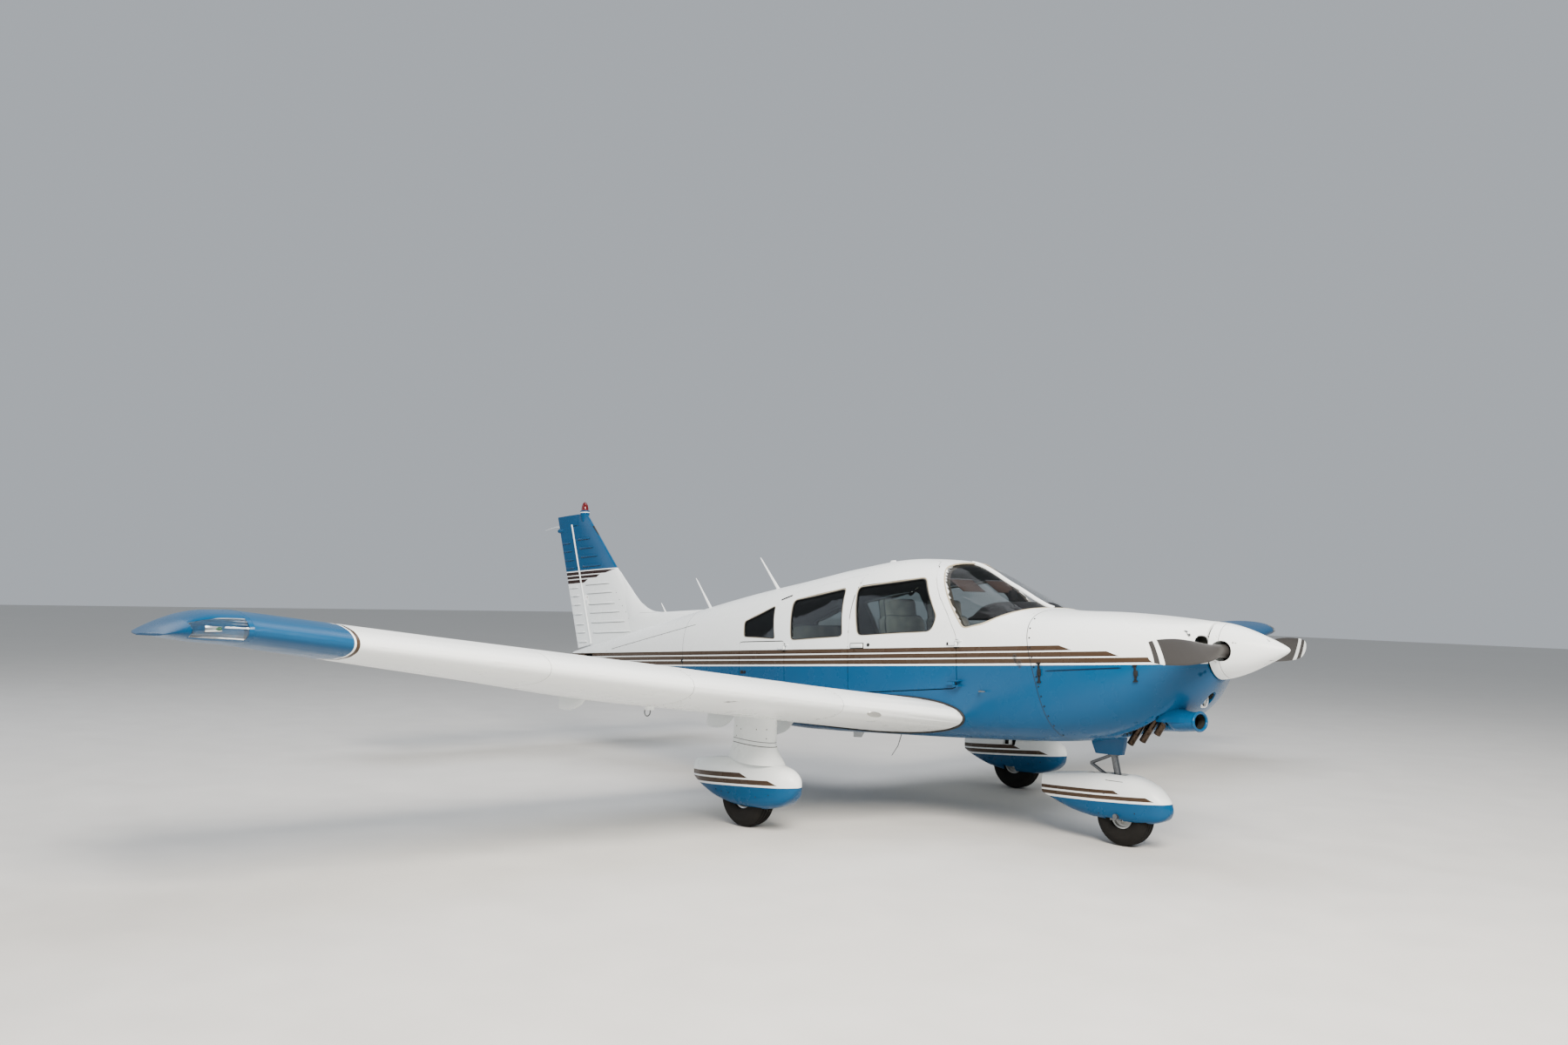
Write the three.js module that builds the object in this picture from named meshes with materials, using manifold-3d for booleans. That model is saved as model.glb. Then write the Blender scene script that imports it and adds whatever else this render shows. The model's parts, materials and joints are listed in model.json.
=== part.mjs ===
// Low-wing, four-seat light aircraft on a fixed tricycle gear.
// Millimetres. +X points to the nose, +Y to port, +Z up; the ground is z = 0 and the
// origin lies under the middle of the aircraft's length and span.
import * as THREE from 'three';
import { mergeVertices } from 'three/addons/utils/BufferGeometryUtils.js';
import Module from 'manifold-3d';

const wasm = await Module();
wasm.setup();

// Driving dimensions
const GAP = 0.3;             // joint between pieces that touch
const RUN = 6;               // clearance round a moving surface
const ATTITUDE = 3.4;        // nose-up angle at which the aircraft stands, degrees
const SHAFT_Z = 1083;        // propeller shaft above the airframe datum
const FIREWALL = { x: 2387, z: 1018, slope: 0.239, thickness: 35 };   // leans aft towards the top
const CABIN_AFT_X = -900;    // bulkhead between the cabin and the tail cone
const TAIL_AFT_X = -2930;    // bulkhead that carries the stabilator
const WALL = 35;             // cabin side: skin, frame and trim
const DOOR_GAP = 7;
const DOOR_FLANGE = { thickness: 10, lap: 14 };   // thin outer skin that laps the door's deeper pan
const COWL_WALL = 12;
const COWL_SPLIT_Z = 980;    // joint between the cowl halves
const FLOOR_Z = 600;
const PROP_X = 3484;
const PROP_RADIUS = 1016;
const SPINNER_RADIUS = 176;
const SPINNER_BACK_X = 3412;
const SPINNER_TIP_X = 3845;
const HUB_BACK_X = 3414;     // propeller flange, against the engine's shaft
const TRACK = 3050;
const MAIN_AXLE_X = 755;
const NOSE_AXLE_X = 2692;
const MAIN_TYRE = { radius: 205, width: 160, rim: 82 };
const NOSE_TYRE = { radius: 186, width: 140, rim: 74 };   // radii are the loaded ones
const RAKE = 13;             // forward slant of the nose strut, degrees

const rad = THREE.MathUtils.degToRad;
const lerp = THREE.MathUtils.lerp;

// Paints and finishes
const finish = {
  white: { color: 0xe9ecec, roughness: 0.3, metalness: 0 },
  blue: { color: 0x1673b8, roughness: 0.3, metalness: 0 },
  glass: { color: 0x55606a, roughness: 0.08, metalness: 0 },
  rubber: { color: 0x1c1b1a, roughness: 0.85, metalness: 0 },
  bladeGrey: { color: 0x5d5c5b, roughness: 0.55, metalness: 0 },
  steel: { color: 0xb8bcc0, roughness: 0.35, metalness: 0.9 },
  castAlloy: { color: 0x8d9093, roughness: 0.5, metalness: 0.8 },
  exhaust: { color: 0x8f8375, roughness: 0.4, metalness: 0.9 },
  engine: { color: 0x6d7275, roughness: 0.6, metalness: 0.5 },
  fabric: { color: 0x8f8d88, roughness: 0.95, metalness: 0 },
  trim: { color: 0x2a2b2d, roughness: 0.8, metalness: 0 },
  redLens: { color: 0x7d0f12, roughness: 0.15, metalness: 0 },
};

// Solid tools

// A three.js geometry as a closed solid that can be cut and joined.
function solid(geometry) {
  const bare = new THREE.BufferGeometry();
  bare.setAttribute('position', geometry.getAttribute('position').clone());
  if (geometry.index) bare.setIndex(geometry.index.clone());
  const merged = mergeVertices(bare, 1e-3);
  return new wasm.Manifold(new wasm.Mesh({
    numProp: 3,
    vertProperties: Float32Array.from(merged.getAttribute('position').array),
    triVerts: Uint32Array.from(merged.index.array),
  }));
}

function geometryOf(manifold) {
  const data = manifold.getMesh();
  const geometry = new THREE.BufferGeometry();
  geometry.setAttribute('position', new THREE.BufferAttribute(Float32Array.from(data.vertProperties), 3));
  geometry.setIndex(new THREE.BufferAttribute(Uint32Array.from(data.triVerts), 1));
  geometry.computeVertexNormals();
  return geometry;
}

const join = (first, ...rest) => rest.reduce((a, b) => a.add(b), first);
const cut = (first, ...rest) => rest.reduce((a, b) => a.subtract(b), first);
const common = (first, ...rest) => rest.reduce((a, b) => a.intersect(b), first);

// The port-side twin of a starboard solid.
function mirrored(manifold) {
  const geometry = geometryOf(manifold);
  geometry.scale(1, -1, 1);
  geometry.index.array.reverse();
  return solid(geometry);
}

// Closed skin over rings of equal point counts, closed by a fan at each end. Each panel is split
// along its shorter diagonal, so that the two sides of the aircraft are true twins.
function loft(rings) {
  const count = rings[0].length;
  const points = rings.flat();
  const faces = [];
  for (let r = 0; r + 1 < rings.length; r++) {
    for (let i = 0; i < count; i++) {
      const a = r * count + i;
      const b = r * count + ((i + 1) % count);
      const direct = points[a].distanceTo(points[b + count]) < points[b].distanceTo(points[a + count]);
      if (direct) faces.push(a, b, b + count, a, b + count, a + count);
      else faces.push(a, b, a + count, b, b + count, a + count);
    }
  }
  for (const [r, flip] of [[0, true], [rings.length - 1, false]]) {
    const centre = rings[r].reduce((sum, p) => sum.add(p), new THREE.Vector3()).divideScalar(count);
    points.push(centre);
    for (let i = 0; i < count; i++) {
      const a = r * count + i;
      const b = r * count + ((i + 1) % count);
      faces.push(...(flip ? [points.length - 1, b, a] : [points.length - 1, a, b]));
    }
  }
  let volume = 0;
  for (let f = 0; f < faces.length; f += 3) {
    const [a, b, c] = [points[faces[f]], points[faces[f + 1]], points[faces[f + 2]]];
    volume += a.dot(new THREE.Vector3().crossVectors(b, c));
  }
  if (volume < 0) faces.reverse();
  const geometry = new THREE.BufferGeometry().setFromPoints(points);
  geometry.setIndex(faces);
  return solid(geometry);
}

function box(x0, x1, y0, y1, z0, z1) {
  const geometry = new THREE.BoxGeometry(x1 - x0, y1 - y0, z1 - z0);
  geometry.translate((x0 + x1) / 2, (y0 + y1) / 2, (z0 + z1) / 2);
  return solid(geometry);
}

// Round bar between two points, tapered if a second radius is given.
function rod(from, to, radius, sides = 16, endRadius = radius) {
  const start = new THREE.Vector3(...from);
  const end = new THREE.Vector3(...to);
  const geometry = new THREE.CylinderGeometry(endRadius, radius, start.distanceTo(end), sides);
  const turn = new THREE.Quaternion().setFromUnitVectors(
    new THREE.Vector3(0, 1, 0), end.clone().sub(start).normalize());
  geometry.applyQuaternion(turn);
  geometry.translate(...start.add(end).multiplyScalar(0.5).toArray());
  return solid(geometry);
}

// Side-view outline in X and Z, carried across from y0 to y1.
function sidePrism(outline, y0, y1) {
  const shape = outline instanceof THREE.Shape
    ? outline : new THREE.Shape(outline.map(([x, z]) => new THREE.Vector2(x, z)));
  const geometry = new THREE.ExtrudeGeometry(shape,
    { depth: y1 - y0, bevelEnabled: false, curveSegments: 3 });
  geometry.rotateX(Math.PI / 2);
  geometry.translate(0, y1, 0);
  return solid(geometry);
}

// Plan-view outline in X and Y, carried up from z0 to z1.
function planPrism(outline, z0, z1) {
  const shape = new THREE.Shape(outline.map(([x, y]) => new THREE.Vector2(x, y)));
  const geometry = new THREE.ExtrudeGeometry(shape, { depth: z1 - z0, bevelEnabled: false });
  geometry.translate(0, 0, z0);
  return solid(geometry);
}

// Outline in X and Z whose corners are rounded.
function roundedOutline(corners, radius) {
  const shape = new THREE.Shape();
  const n = corners.length;
  corners.forEach(([x, z], i) => {
    const here = new THREE.Vector2(x, z);
    const back = new THREE.Vector2(...corners[(i + n - 1) % n]).sub(here);
    const ahead = new THREE.Vector2(...corners[(i + 1) % n]).sub(here);
    const reach = Math.min(radius, back.length() / 2.1, ahead.length() / 2.1);
    const enter = back.setLength(reach).add(here);
    const leave = ahead.setLength(reach).add(here);
    if (i === 0) shape.moveTo(enter.x, enter.y);
    else shape.lineTo(enter.x, enter.y);
    shape.quadraticCurveTo(x, z, leave.x, leave.y);
  });
  shape.closePath();
  return shape;
}

// The same outline grown outward by a margin, corner by corner.
function grown(corners, margin) {
  const area = corners.reduce((sum, [x, z], i) => {
    const [nx, nz] = corners[(i + 1) % corners.length];
    return sum + x * nz - nx * z;
  }, 0);
  const side = Math.sign(area);
  const n = corners.length;
  return corners.map(([x, z], i) => {
    const back = new THREE.Vector2(x, z).sub(new THREE.Vector2(...corners[(i + n - 1) % n])).normalize();
    const ahead = new THREE.Vector2(...corners[(i + 1) % n]).sub(new THREE.Vector2(x, z)).normalize();
    const normal = new THREE.Vector2(back.y + ahead.y, -back.x - ahead.x).multiplyScalar(side);
    const scale = margin / (1 + back.dot(ahead));
    return [x + normal.x * scale, z + normal.y * scale];
  });
}

// Body of revolution from [along, radius] pairs, about the given axis through a point.
function turned(profile, axis, at, sides = 24) {
  const geometry = new THREE.LatheGeometry(profile.map(([along, r]) => new THREE.Vector2(r, along)), sides);
  if (axis === 'x') geometry.rotateZ(-Math.PI / 2);
  if (axis === 'z') geometry.rotateX(Math.PI / 2);
  geometry.translate(...at);
  const made = solid(geometry);
  if (made.volume() > 0) return made;
  geometry.index.array.reverse();
  return solid(geometry);
}

// Scene graph: the airframe group stands at the parking attitude, the ground group is level.
const aircraft = new THREE.Group();
const airframe = new THREE.Group();
airframe.rotation.y = -rad(ATTITUDE);
aircraft.add(airframe);

function place(name, shape, look, group = airframe) {
  const mesh = new THREE.Mesh(geometryOf(shape), new THREE.MeshStandardMaterial(finish[look]));
  mesh.name = name;
  group.add(mesh);
}

// What is laid out on level ground, such as the gear, is turned into the airframe.
const grounded = (shape) => {
  const geometry = geometryOf(shape);
  geometry.rotateY(rad(ATTITUDE));
  return solid(geometry);
};

// Point of the nose gear's steering axis at a height above level ground.
const steerAt = (z) => [NOSE_AXLE_X - (z - NOSE_TYRE.radius) * Math.tan(rad(RAKE)), 0, z];

// Fuselage

// Sections of the body: station, belly, crown, height of greatest width, half width there,
// and the squareness of the lower and upper halves (2 is an ellipse, more is boxier).
const bodyColumns = ['x', 'belly', 'crown', 'mid', 'half', 'low', 'high'];
const bodyRows = [
  [3400, 900, 1262, 1085, 190, 2.0, 2.0],
  [3340, 815, 1268, 1085, 300, 2.2, 2.2],
  [3260, 725, 1279, 1075, 375, 2.3, 2.3],
  [3140, 645, 1295, 1060, 435, 2.5, 2.5],
  [2950, 570, 1318, 1035, 492, 2.8, 2.7],
  [2700, 525, 1342, 1010, 532, 3.2, 2.9],
  [2375, 500, 1362, 985, 556, 3.8, 3.1],
  [2227, 498, 1382, 980, 560, 4.2, 3.1],
  [1890, 497, 1552, 975, 563, 4.6, 2.8],
  [1555, 497, 1727, 975, 564, 5.0, 2.6],
  [1330, 498, 1764, 975, 564, 5.0, 2.6],
  [1050, 500, 1781, 975, 562, 5.0, 2.6],
  [540, 502, 1740, 975, 550, 4.8, 2.6],
  [170, 506, 1692, 980, 527, 4.4, 2.6],
  [-60, 515, 1662, 990, 507, 4.0, 2.6],
  [-420, 575, 1618, 1005, 468, 3.8, 2.6],
  [-900, 657, 1550, 1040, 410, 3.6, 2.6],
  [-1290, 724, 1486, 1070, 360, 3.4, 2.6],
  [-2930, 985, 1209, 1105, 112, 2.6, 2.4],
  [-3350, 1062, 1134, 1098, 45, 2.2, 2.2],
].map((row) => Object.fromEntries(row.map((value, i) => [bodyColumns[i], value])));

function bodyAt(x) {
  const last = bodyRows.length - 1;
  let i = bodyRows.findIndex((row) => row.x < x) - 1;
  if (i < 0) i = x >= bodyRows[0].x ? 0 : last - 1;
  const [a, b] = [bodyRows[i], bodyRows[i + 1]];
  const t = (x - a.x) / (b.x - a.x);
  return Object.fromEntries(bodyColumns.map((key) => [key, lerp(a[key], b[key], t)]));
}

const bodyPoints = 24;
function bodyRing(x, inset) {
  const s = bodyAt(x);
  const ring = [];
  for (let i = 0; i < bodyPoints; i++) {
    const angle = ((i + 0.5) / bodyPoints) * 2 * Math.PI;
    const c = Math.cos(angle);
    const n = Math.sin(angle);
    const power = 2 / (n > 0 ? s.high : s.low);
    const rise = (n > 0 ? s.crown - s.mid : s.mid - s.belly) - inset;
    ring.push(new THREE.Vector3(
      x,
      Math.sign(c) * (s.half - inset) * Math.abs(c) ** power,
      s.mid + Math.sign(n) * rise * Math.abs(n) ** power));
  }
  return ring;
}

function bodyLoft(xFront, xAft, inset = 0) {
  const stations = [xFront, ...bodyRows.map((row) => row.x).filter((x) => x < xFront && x > xAft), xAft];
  return loft(stations.map((x) => bodyRing(x, inset)));
}

// Outlines in side view, corners in order round each opening.
const doorCorners = [[797, 808], [797, 1420], [812, 1650], [838, 1900], [1410, 1900], [1440, 1690],
  [1564, 1508], [1713, 1312], [1788, 1190], [1792, 855]];
// The door's top edge lies on the roof, so it is drawn in plan view, in X and Y.
const doorTopCorners = [[600, -2000], [600, -385], [812, -374], [850, -304], [900, -282], [1350, -182],
  [1392, -196], [1430, -275], [1850, -500], [1850, -2000]];
// The frame stands back a little more at the rear top corner, which the door sweeps as it opens.
const doorwayCorners = grown(doorCorners, DOOR_GAP).map(([x, z], i) => [i === 2 || i === 3 ? x - 6 : x, z]);
const doorWindowCorners = [[884, 1216], [798, 1576], [1420, 1622], [1612, 1334], [1572, 1234]];
const rearWindowCorners = [[166, 1192], [106, 1504], [680, 1575], [737, 1212]];
const aftWindowCorners = [[-428, 1226], [-455, 1352], [-98, 1470], [-22, 1206]];
const baggageDoorCorners = [[-475, 700], [-475, 1184], [92, 1184], [92, 700]];
const windshieldCorners = [[1558, 1900], [1553, 1726], [1500, 1702], [1563, 1612], [1683, 1443], [1837, 1250],
  [1995, 1282], [2099, 1331], [2190, 1372], [2245, 1390], [2500, 1900]];
const roofCorners = [[CABIN_AFT_X - 10, 1400], [-455, 1440], [-98, 1540], [680, 1652], [1440, 1700],
  [1700, 1700], [1700, 2000], [CABIN_AFT_X - 10, 2000]];

const allAcross = 2000;
const firewallX = (z) => FIREWALL.x + (FIREWALL.z - z) * FIREWALL.slope;
// Everything aft of the firewall's front face, moved along by an offset.
const aftOfFirewall = (offset) => sidePrism([[-5000, -500], [firewallX(-500) + offset, -500],
  [firewallX(3000) + offset, 3000], [-5000, 3000]], -allAcross, allAcross);
const longBody = bodyLoft(3400, CABIN_AFT_X);
const outer = common(longBody, aftOfFirewall(-FIREWALL.thickness - GAP));
const inner = bodyLoft(2700, CABIN_AFT_X - 5, WALL);
const shell = cut(outer, inner);

const through = (corners, radius, margin = 0) =>
  sidePrism(roundedOutline(margin ? grown(corners, margin) : corners, radius + margin),
    -allAcross, allAcross);
const starboard = box(-5000, 5000, -allAcross, -GAP / 2, -500, 3000);
const port = box(-5000, 5000, GAP / 2, allAcross, -500, 3000);
const pane = cut(bodyLoft(2400, CABIN_AFT_X, 8), bodyLoft(2410, CABIN_AFT_X - 10, 14));

const windshieldCut = through(windshieldCorners, 40);
const roofCut = sidePrism(roofCorners, -allAcross, allAcross);
const floorCut = box(-5000, 5000, -allAcross, allAcross, -500, FLOOR_Z);
const windows = {
  front: [doorWindowCorners, 45],
  rear: [rearWindowCorners, 40],
  aft: [aftWindowCorners, 25],
};

const sides = cut(shell, windshieldCut,
  sidePrism(grown(roofCorners, GAP), -allAcross, allAcross),
  box(-5000, 5000, -allAcross, allAcross, -500, FLOOR_Z + GAP));
const openings = Object.values(windows).map(([corners, radius]) => through(corners, radius));
place('cabin_side_left', common(cut(sides, ...openings), port), 'white');
const doorOutline = (corners, margin) => common(
  through(corners, 40, margin), planPrism(grown(doorTopCorners, margin || 0.01), 0, 3000));
const doorway = common(through(doorwayCorners, 40 + DOOR_GAP),
  planPrism(grown(doorTopCorners, DOOR_GAP), 0, 3000));
const baggageDoorway = common(through(baggageDoorCorners, 30, DOOR_GAP), starboard);
place('cabin_roof', cut(common(shell, roofCut), windshieldCut, doorway), 'white');
place('cabin_floor', common(outer, floorCut), 'blue');
place('firewall', cut(common(longBody, aftOfFirewall(-GAP)), aftOfFirewall(-FIREWALL.thickness)), 'steel');
place('windshield', common(pane, through(windshieldCorners, 40, -GAP)), 'glass');
for (const [name, [corners, radius]] of Object.entries(windows)) {
  const fitted = common(pane, through(corners, radius, -GAP));
  place(`window_${name}_left`, common(fitted, port), 'glass');
  place(`window_${name}_right`, common(fitted, starboard), 'glass');
}

// Both doors hang at their front edge. The hinge line leans inboard towards the top, so that the
// door's free edge rises over the wing as it swings. Heights are those of the hinges, lowest first.
const cabinHinge = { x: 1796, y: -598, z: 875, lean: 7.5, heights: [886, 1150], skins: [-563, -556] };
const baggageHinge = { x: 97, y: -541, z: 730, lean: 3, heights: [745, 1140], skins: [-511, -516] };
const HINGE = { pin: 5, eye: 10, relief: 22, eyeHalf: 10, cheekIn: 14, cheekOut: 21, strap: 60 };

function doorHinges({ x, y, z, lean, heights, skins }) {
  const axisAt = (height) => [x, y + (height - z) * Math.tan(rad(lean)), height];
  const bar = (height, half, radius, sides) =>
    rod(axisAt(height - half), axisAt(height + half), radius, sides);
  const block = (x0, x1, y0, y1, height, from, to) => box(x + x0, x + x1, y0, y1, height + from, height + to);
  const fixed = heights.flatMap((height, i) => {
    const axisY = axisAt(height)[1];
    const cheeks = [[-HINGE.cheekOut, -HINGE.cheekIn], [HINGE.cheekIn, HINGE.cheekOut]].flatMap(([from, to]) => [
      block(-9, 44, axisY - 9, axisY + 9, height, from, to),
      block(20, 44, axisY - 9, skins[i] + 12, height, from, to)]);
    return [bar(height, HINGE.cheekOut, HINGE.pin, 8), ...cheeks];
  });
  const moving = heights.flatMap((height, i) => {
    const axisY = axisAt(height)[1];
    return [bar(height, HINGE.eyeHalf, HINGE.eye, 10),
      block(-HINGE.strap, 0, axisY - 6, axisY + 6, height, -HINGE.eyeHalf, HINGE.eyeHalf),
      block(-HINGE.strap, -28, axisY - 6, skins[i] + 12, height, -HINGE.eyeHalf, HINGE.eyeHalf)];
  });
  const relief = (radius) => heights.map((height) => bar(height, HINGE.cheekOut + 8, radius, 10));
  const bore = heights.map((height) => bar(height, HINGE.cheekOut, HINGE.pin + 0.5, 8));
  return {
    frame: (panel) => join(cut(panel, ...relief(HINGE.eye + RUN)), ...fixed),
    leaf: (panel) => cut(join(cut(panel, ...relief(HINGE.relief)), ...moving), ...bore),
  };
}
const cabinHinges = doorHinges(cabinHinge);
const baggageHinges = doorHinges(baggageHinge);
const skinLayer = cut(shell, bodyLoft(2700, CABIN_AFT_X - 5, DOOR_FLANGE.thickness));
const doorLeaf = cut(join(common(skinLayer, doorOutline(doorCorners, 0)),
  common(shell, doorOutline(doorCorners, -DOOR_FLANGE.lap))), openings[0]);
const baggageLeaf = join(common(skinLayer, through(baggageDoorCorners, 30), starboard),
  common(shell, through(baggageDoorCorners, 30, -DOOR_FLANGE.lap), starboard));
place('cabin_door', cabinHinges.leaf(doorLeaf), 'white');
place('baggage_door', baggageHinges.leaf(baggageLeaf), 'white');
const rightSide = cut(sides, openings[1], openings[2], doorway, baggageDoorway);
place('cabin_side_right', baggageHinges.frame(cabinHinges.frame(common(rightSide, starboard))), 'white');

// Engine cowl

const cowlOuter = cut(bodyLoft(3400, 2000), aftOfFirewall(GAP));
const cowlInner = bodyLoft(3330, 1990, COWL_WALL);
const cowlShell = cut(cowlOuter, cowlInner);
const splitUp = box(2000, 4000, -1000, 1000, COWL_SPLIT_Z + GAP / 2, 3000);
const splitDown = box(2000, 4000, -1000, 1000, -500, COWL_SPLIT_Z - GAP / 2);
const shaftHole = rod([3200, 0, SHAFT_Z], [3500, 0, SHAFT_Z], 60, 20);
const inlets = [-1, 1].map((side) => rod([3200, side * 190, 1120], [3500, side * 190, 1120], 62, 16));
place('cowl_upper', cut(common(cowlShell, splitUp), shaftHole, ...inlets), 'white');
const scoopRows = [[3352, -200, 659, 86, 58], [3220, -200, 655, 90, 62], [3110, -195, 705, 84, 58]];
const scoopRing = ([x, y, z, wide, high], inset = 0) => Array.from({ length: 16 }, (_, i) => {
  const angle = (i / 16) * 2 * Math.PI;
  return new THREE.Vector3(x, y + (wide - inset) * Math.cos(angle), z + (high - inset) * Math.sin(angle));
});
const scoop = loft(scoopRows.map((row) => scoopRing(row)));
const scoopBore = loft([[3360, ...scoopRows[0].slice(1)], [3160, ...scoopRows[1].slice(1)]]
  .map((row) => scoopRing(row, 10)));
// Exhaust stubs leave the cowl's underside on the starboard side, slanting down and aft.
const STUB = { radius: 22, y: -215, rise: [46, 0, 92] };
const stubTips = [[3070, STUB.y, 574], [2968, STUB.y, 528], [2882, STUB.y, 508]];
const stubs = (margin) => stubTips.map(([x, y, z]) =>
  rod([x - margin * 0.4, y, z - margin * 0.9], [x + STUB.rise[0] * 2, y, z + STUB.rise[2] * 2],
    STUB.radius + margin, 12));
const noseBoss = (margin) => loft([[575, 128, 62], [640, 142, 78], [760, 150, 90]].map(([z, long, wide]) =>
  Array.from({ length: 12 }, (_, i) => {
    const angle = ((i + 0.5) / 12) * 2 * Math.PI;
    return new THREE.Vector3(2545 + (long - margin) * Math.cos(angle), (wide - margin) * Math.sin(angle), z);
  })));
const strutHole = grounded(rod(steerAt(500), steerAt(840), 40 + GAP, 20));
// Landing light in a can behind a round hole in the chin
const LAMP = { y: 0, z: 788, radius: 46, can: 54, backX: 3225, frontX: 3270 };
const lampBar = (x0, x1, radius) => rod([x0, LAMP.y, LAMP.z], [x1, LAMP.y, LAMP.z], radius, 16);
const lampHole = lampBar(LAMP.backX, 3500, LAMP.radius + GAP);
const lampCan = cut(common(lampBar(LAMP.backX - 10, 3500, LAMP.can), cowlOuter), lampHole);
place('landing_light', lampBar(LAMP.backX + GAP, LAMP.frontX, LAMP.radius), 'glass');
place('cowl_lower', cut(
  join(cut(common(cowlShell, splitDown), shaftHole, lampHole), lampCan,
    cut(scoop, cowlInner), cut(grounded(noseBoss(0)), cowlInner)),
  scoopBore, strutHole, aftOfFirewall(GAP), ...stubs(6)), 'blue');
// Engine as one plain block at its real length, width and height, on its mount ahead of the firewall
const ENGINE = { x0: 2500, x1: 3205, half: 424, low: 790, high: 1300, room: 24 };
const engineMount = cut(box(2300, ENGINE.x0 + 10, -260, 260, 880, 1180), aftOfFirewall(GAP));
const engineCase = common(box(ENGINE.x0, ENGINE.x1, -ENGINE.half, ENGINE.half, ENGINE.low, ENGINE.high),
  bodyLoft(3330, 2000, COWL_WALL + ENGINE.room));
const sump = box(2640, 2960, -60, 300, 690, ENGINE.low + 5);
const crankshaft = rod([ENGINE.x1 - 10, 0, SHAFT_Z], [HUB_BACK_X - 0.5, 0, SHAFT_Z], 40, 16);
place('engine_block', join(engineCase, engineMount, sump, crankshaft), 'engine');
const riser = rod([3030, STUB.y, 715], [3030, STUB.y, ENGINE.low - GAP], 26, 14);
place('exhaust', join(...stubs(0), rod([2936, STUB.y, 668], [3130, STUB.y, 760], 30, 14), riser), 'exhaust');

// Propeller and spinner

function bladeRing(r, chord, thick, twist, side) {
  const ring = [];
  for (let i = 0; i < 12; i++) {
    const a = (i / 12) * 2 * Math.PI;
    const u = (chord / 2) * Math.cos(a);
    const v = (thick / 2) * Math.sin(a);
    const c = Math.cos(rad(twist));
    const s = Math.sin(rad(twist)) * side;
    ring.push(new THREE.Vector3(PROP_X + u * s + v * c, side * r, SHAFT_Z + u * c - v * s));
  }
  return ring;
}
// Blade sections: radius, chord, thickness, angle out of the disc in degrees.
const bladeRows = [
  [40, 84, 84, 60], [200, 84, 80, 60], [290, 128, 52, 48], [400, 160, 34, 40],
  [600, 172, 24, 28], [800, 160, 17, 21], [940, 132, 12, 17], [1000, 90, 8, 15], [PROP_RADIUS, 40, 5, 15],
];
const blades = [-1, 1].map((side) => loft(bladeRows.map(([r, c, t, w]) => bladeRing(r, c, t, w, side))));
const hub = rod([HUB_BACK_X, 0, SHAFT_Z], [PROP_X + 60, 0, SHAFT_Z], 75, 20);
place('propeller', join(hub, ...blades), 'bladeGrey');
const spinnerProfile = [
  [SPINNER_TIP_X, 0], [SPINNER_TIP_X - 8, 12], [SPINNER_TIP_X - 60, 44], [SPINNER_TIP_X - 160, 92],
  [SPINNER_TIP_X - 260, 134], [SPINNER_TIP_X - 350, 162], [SPINNER_TIP_X - 410, 174],
  [SPINNER_BACK_X, SPINNER_RADIUS], [SPINNER_BACK_X, 0],
];
place('spinner', cut(turned(spinnerProfile, 'x', [0, 0, SHAFT_Z], 20),
  rod([SPINNER_BACK_X - 5, 0, SHAFT_Z], [PROP_X + 60 + GAP, 0, SHAFT_Z], 75 + GAP, 20),
  rod([PROP_X, -300, SHAFT_Z], [PROP_X, 300, SHAFT_Z], 62, 20)), 'white');

// Wings

const DIHEDRAL = 7;
const FLAP = { y0: 650, y1: 2684, hingeX: 290 };
const AILERON = { y0: 2700, y1: 4830, share: 0.19 };
const TIP_Y = 5110;
const SPAN_END_Y = 5400;

// Sections of the main panel: span station, leading edge x and z, chord, incidence, forward glove.
const wingRows = [
  { y: 380, x: 1585, z: 639, chord: 1600, incidence: 2, glove: 293 },
  { y: 1448, x: 1585, z: 770, chord: 1600, incidence: 2, glove: 0 },
  { y: 2692, x: 1585, z: 923, chord: 1600, incidence: 2, glove: 0 },
  { y: TIP_Y, x: 1347, z: 1245, chord: 1108, incidence: -1, glove: 0 },
];
const WING_THICKNESS = 0.15;
const WING_CAMBER = 0.018;
const EDGE_THICKNESS = 6;
const chordSteps = [0, 0.015, 0.06, 0.15, 0.3, 0.48, 0.66, 0.83, 1];

const thicknessAt = (s) =>
  5 * (0.2969 * Math.sqrt(s) - 0.126 * s - 0.3516 * s ** 2 + 0.2843 * s ** 3 - 0.1036 * s ** 4);

function wingAt(y) {
  const rows = wingRows;
  const i = Math.max(0, Math.min(rows.length - 2, rows.findIndex((row) => row.y >= y) - 1));
  const t = (y - rows[i].y) / (rows[i + 1].y - rows[i].y);
  return Object.fromEntries(Object.keys(rows[0]).map((key) =>
    [key, lerp(rows[i][key], rows[i + 1][key], t)]));
}

// Point of the wing section at chord share s; side +1 is the upper skin, -1 the lower, 0 the middle.
function wingPoint(row, s, side, slim = 1) {
  const half = side * (WING_THICKNESS * row.chord * thicknessAt(s) * slim + (EDGE_THICKNESS / 2) * s);
  const camber = WING_CAMBER * row.chord * 4 * s * (1 - s) * slim;
  const drop = s * row.chord * Math.tan(rad(row.incidence));
  const forward = (row.glove || 0) * Math.max(0, 1 - s / 0.35);
  return new THREE.Vector3(row.x + forward - s * row.chord, row.y, row.z - drop + camber + half);
}

function wingRing(row, slim = 1) {
  const upper = chordSteps.map((s) => wingPoint(row, s, 1, slim));
  const lower = chordSteps.slice(1).reverse().map((s) => wingPoint(row, s, -1, slim));
  return [...upper, ...lower];
}

// Distance along the dihedral line for a point of the wing.
const alongSpan = (y, z) => y * Math.cos(rad(DIHEDRAL)) + z * Math.sin(rad(DIHEDRAL));

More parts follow.
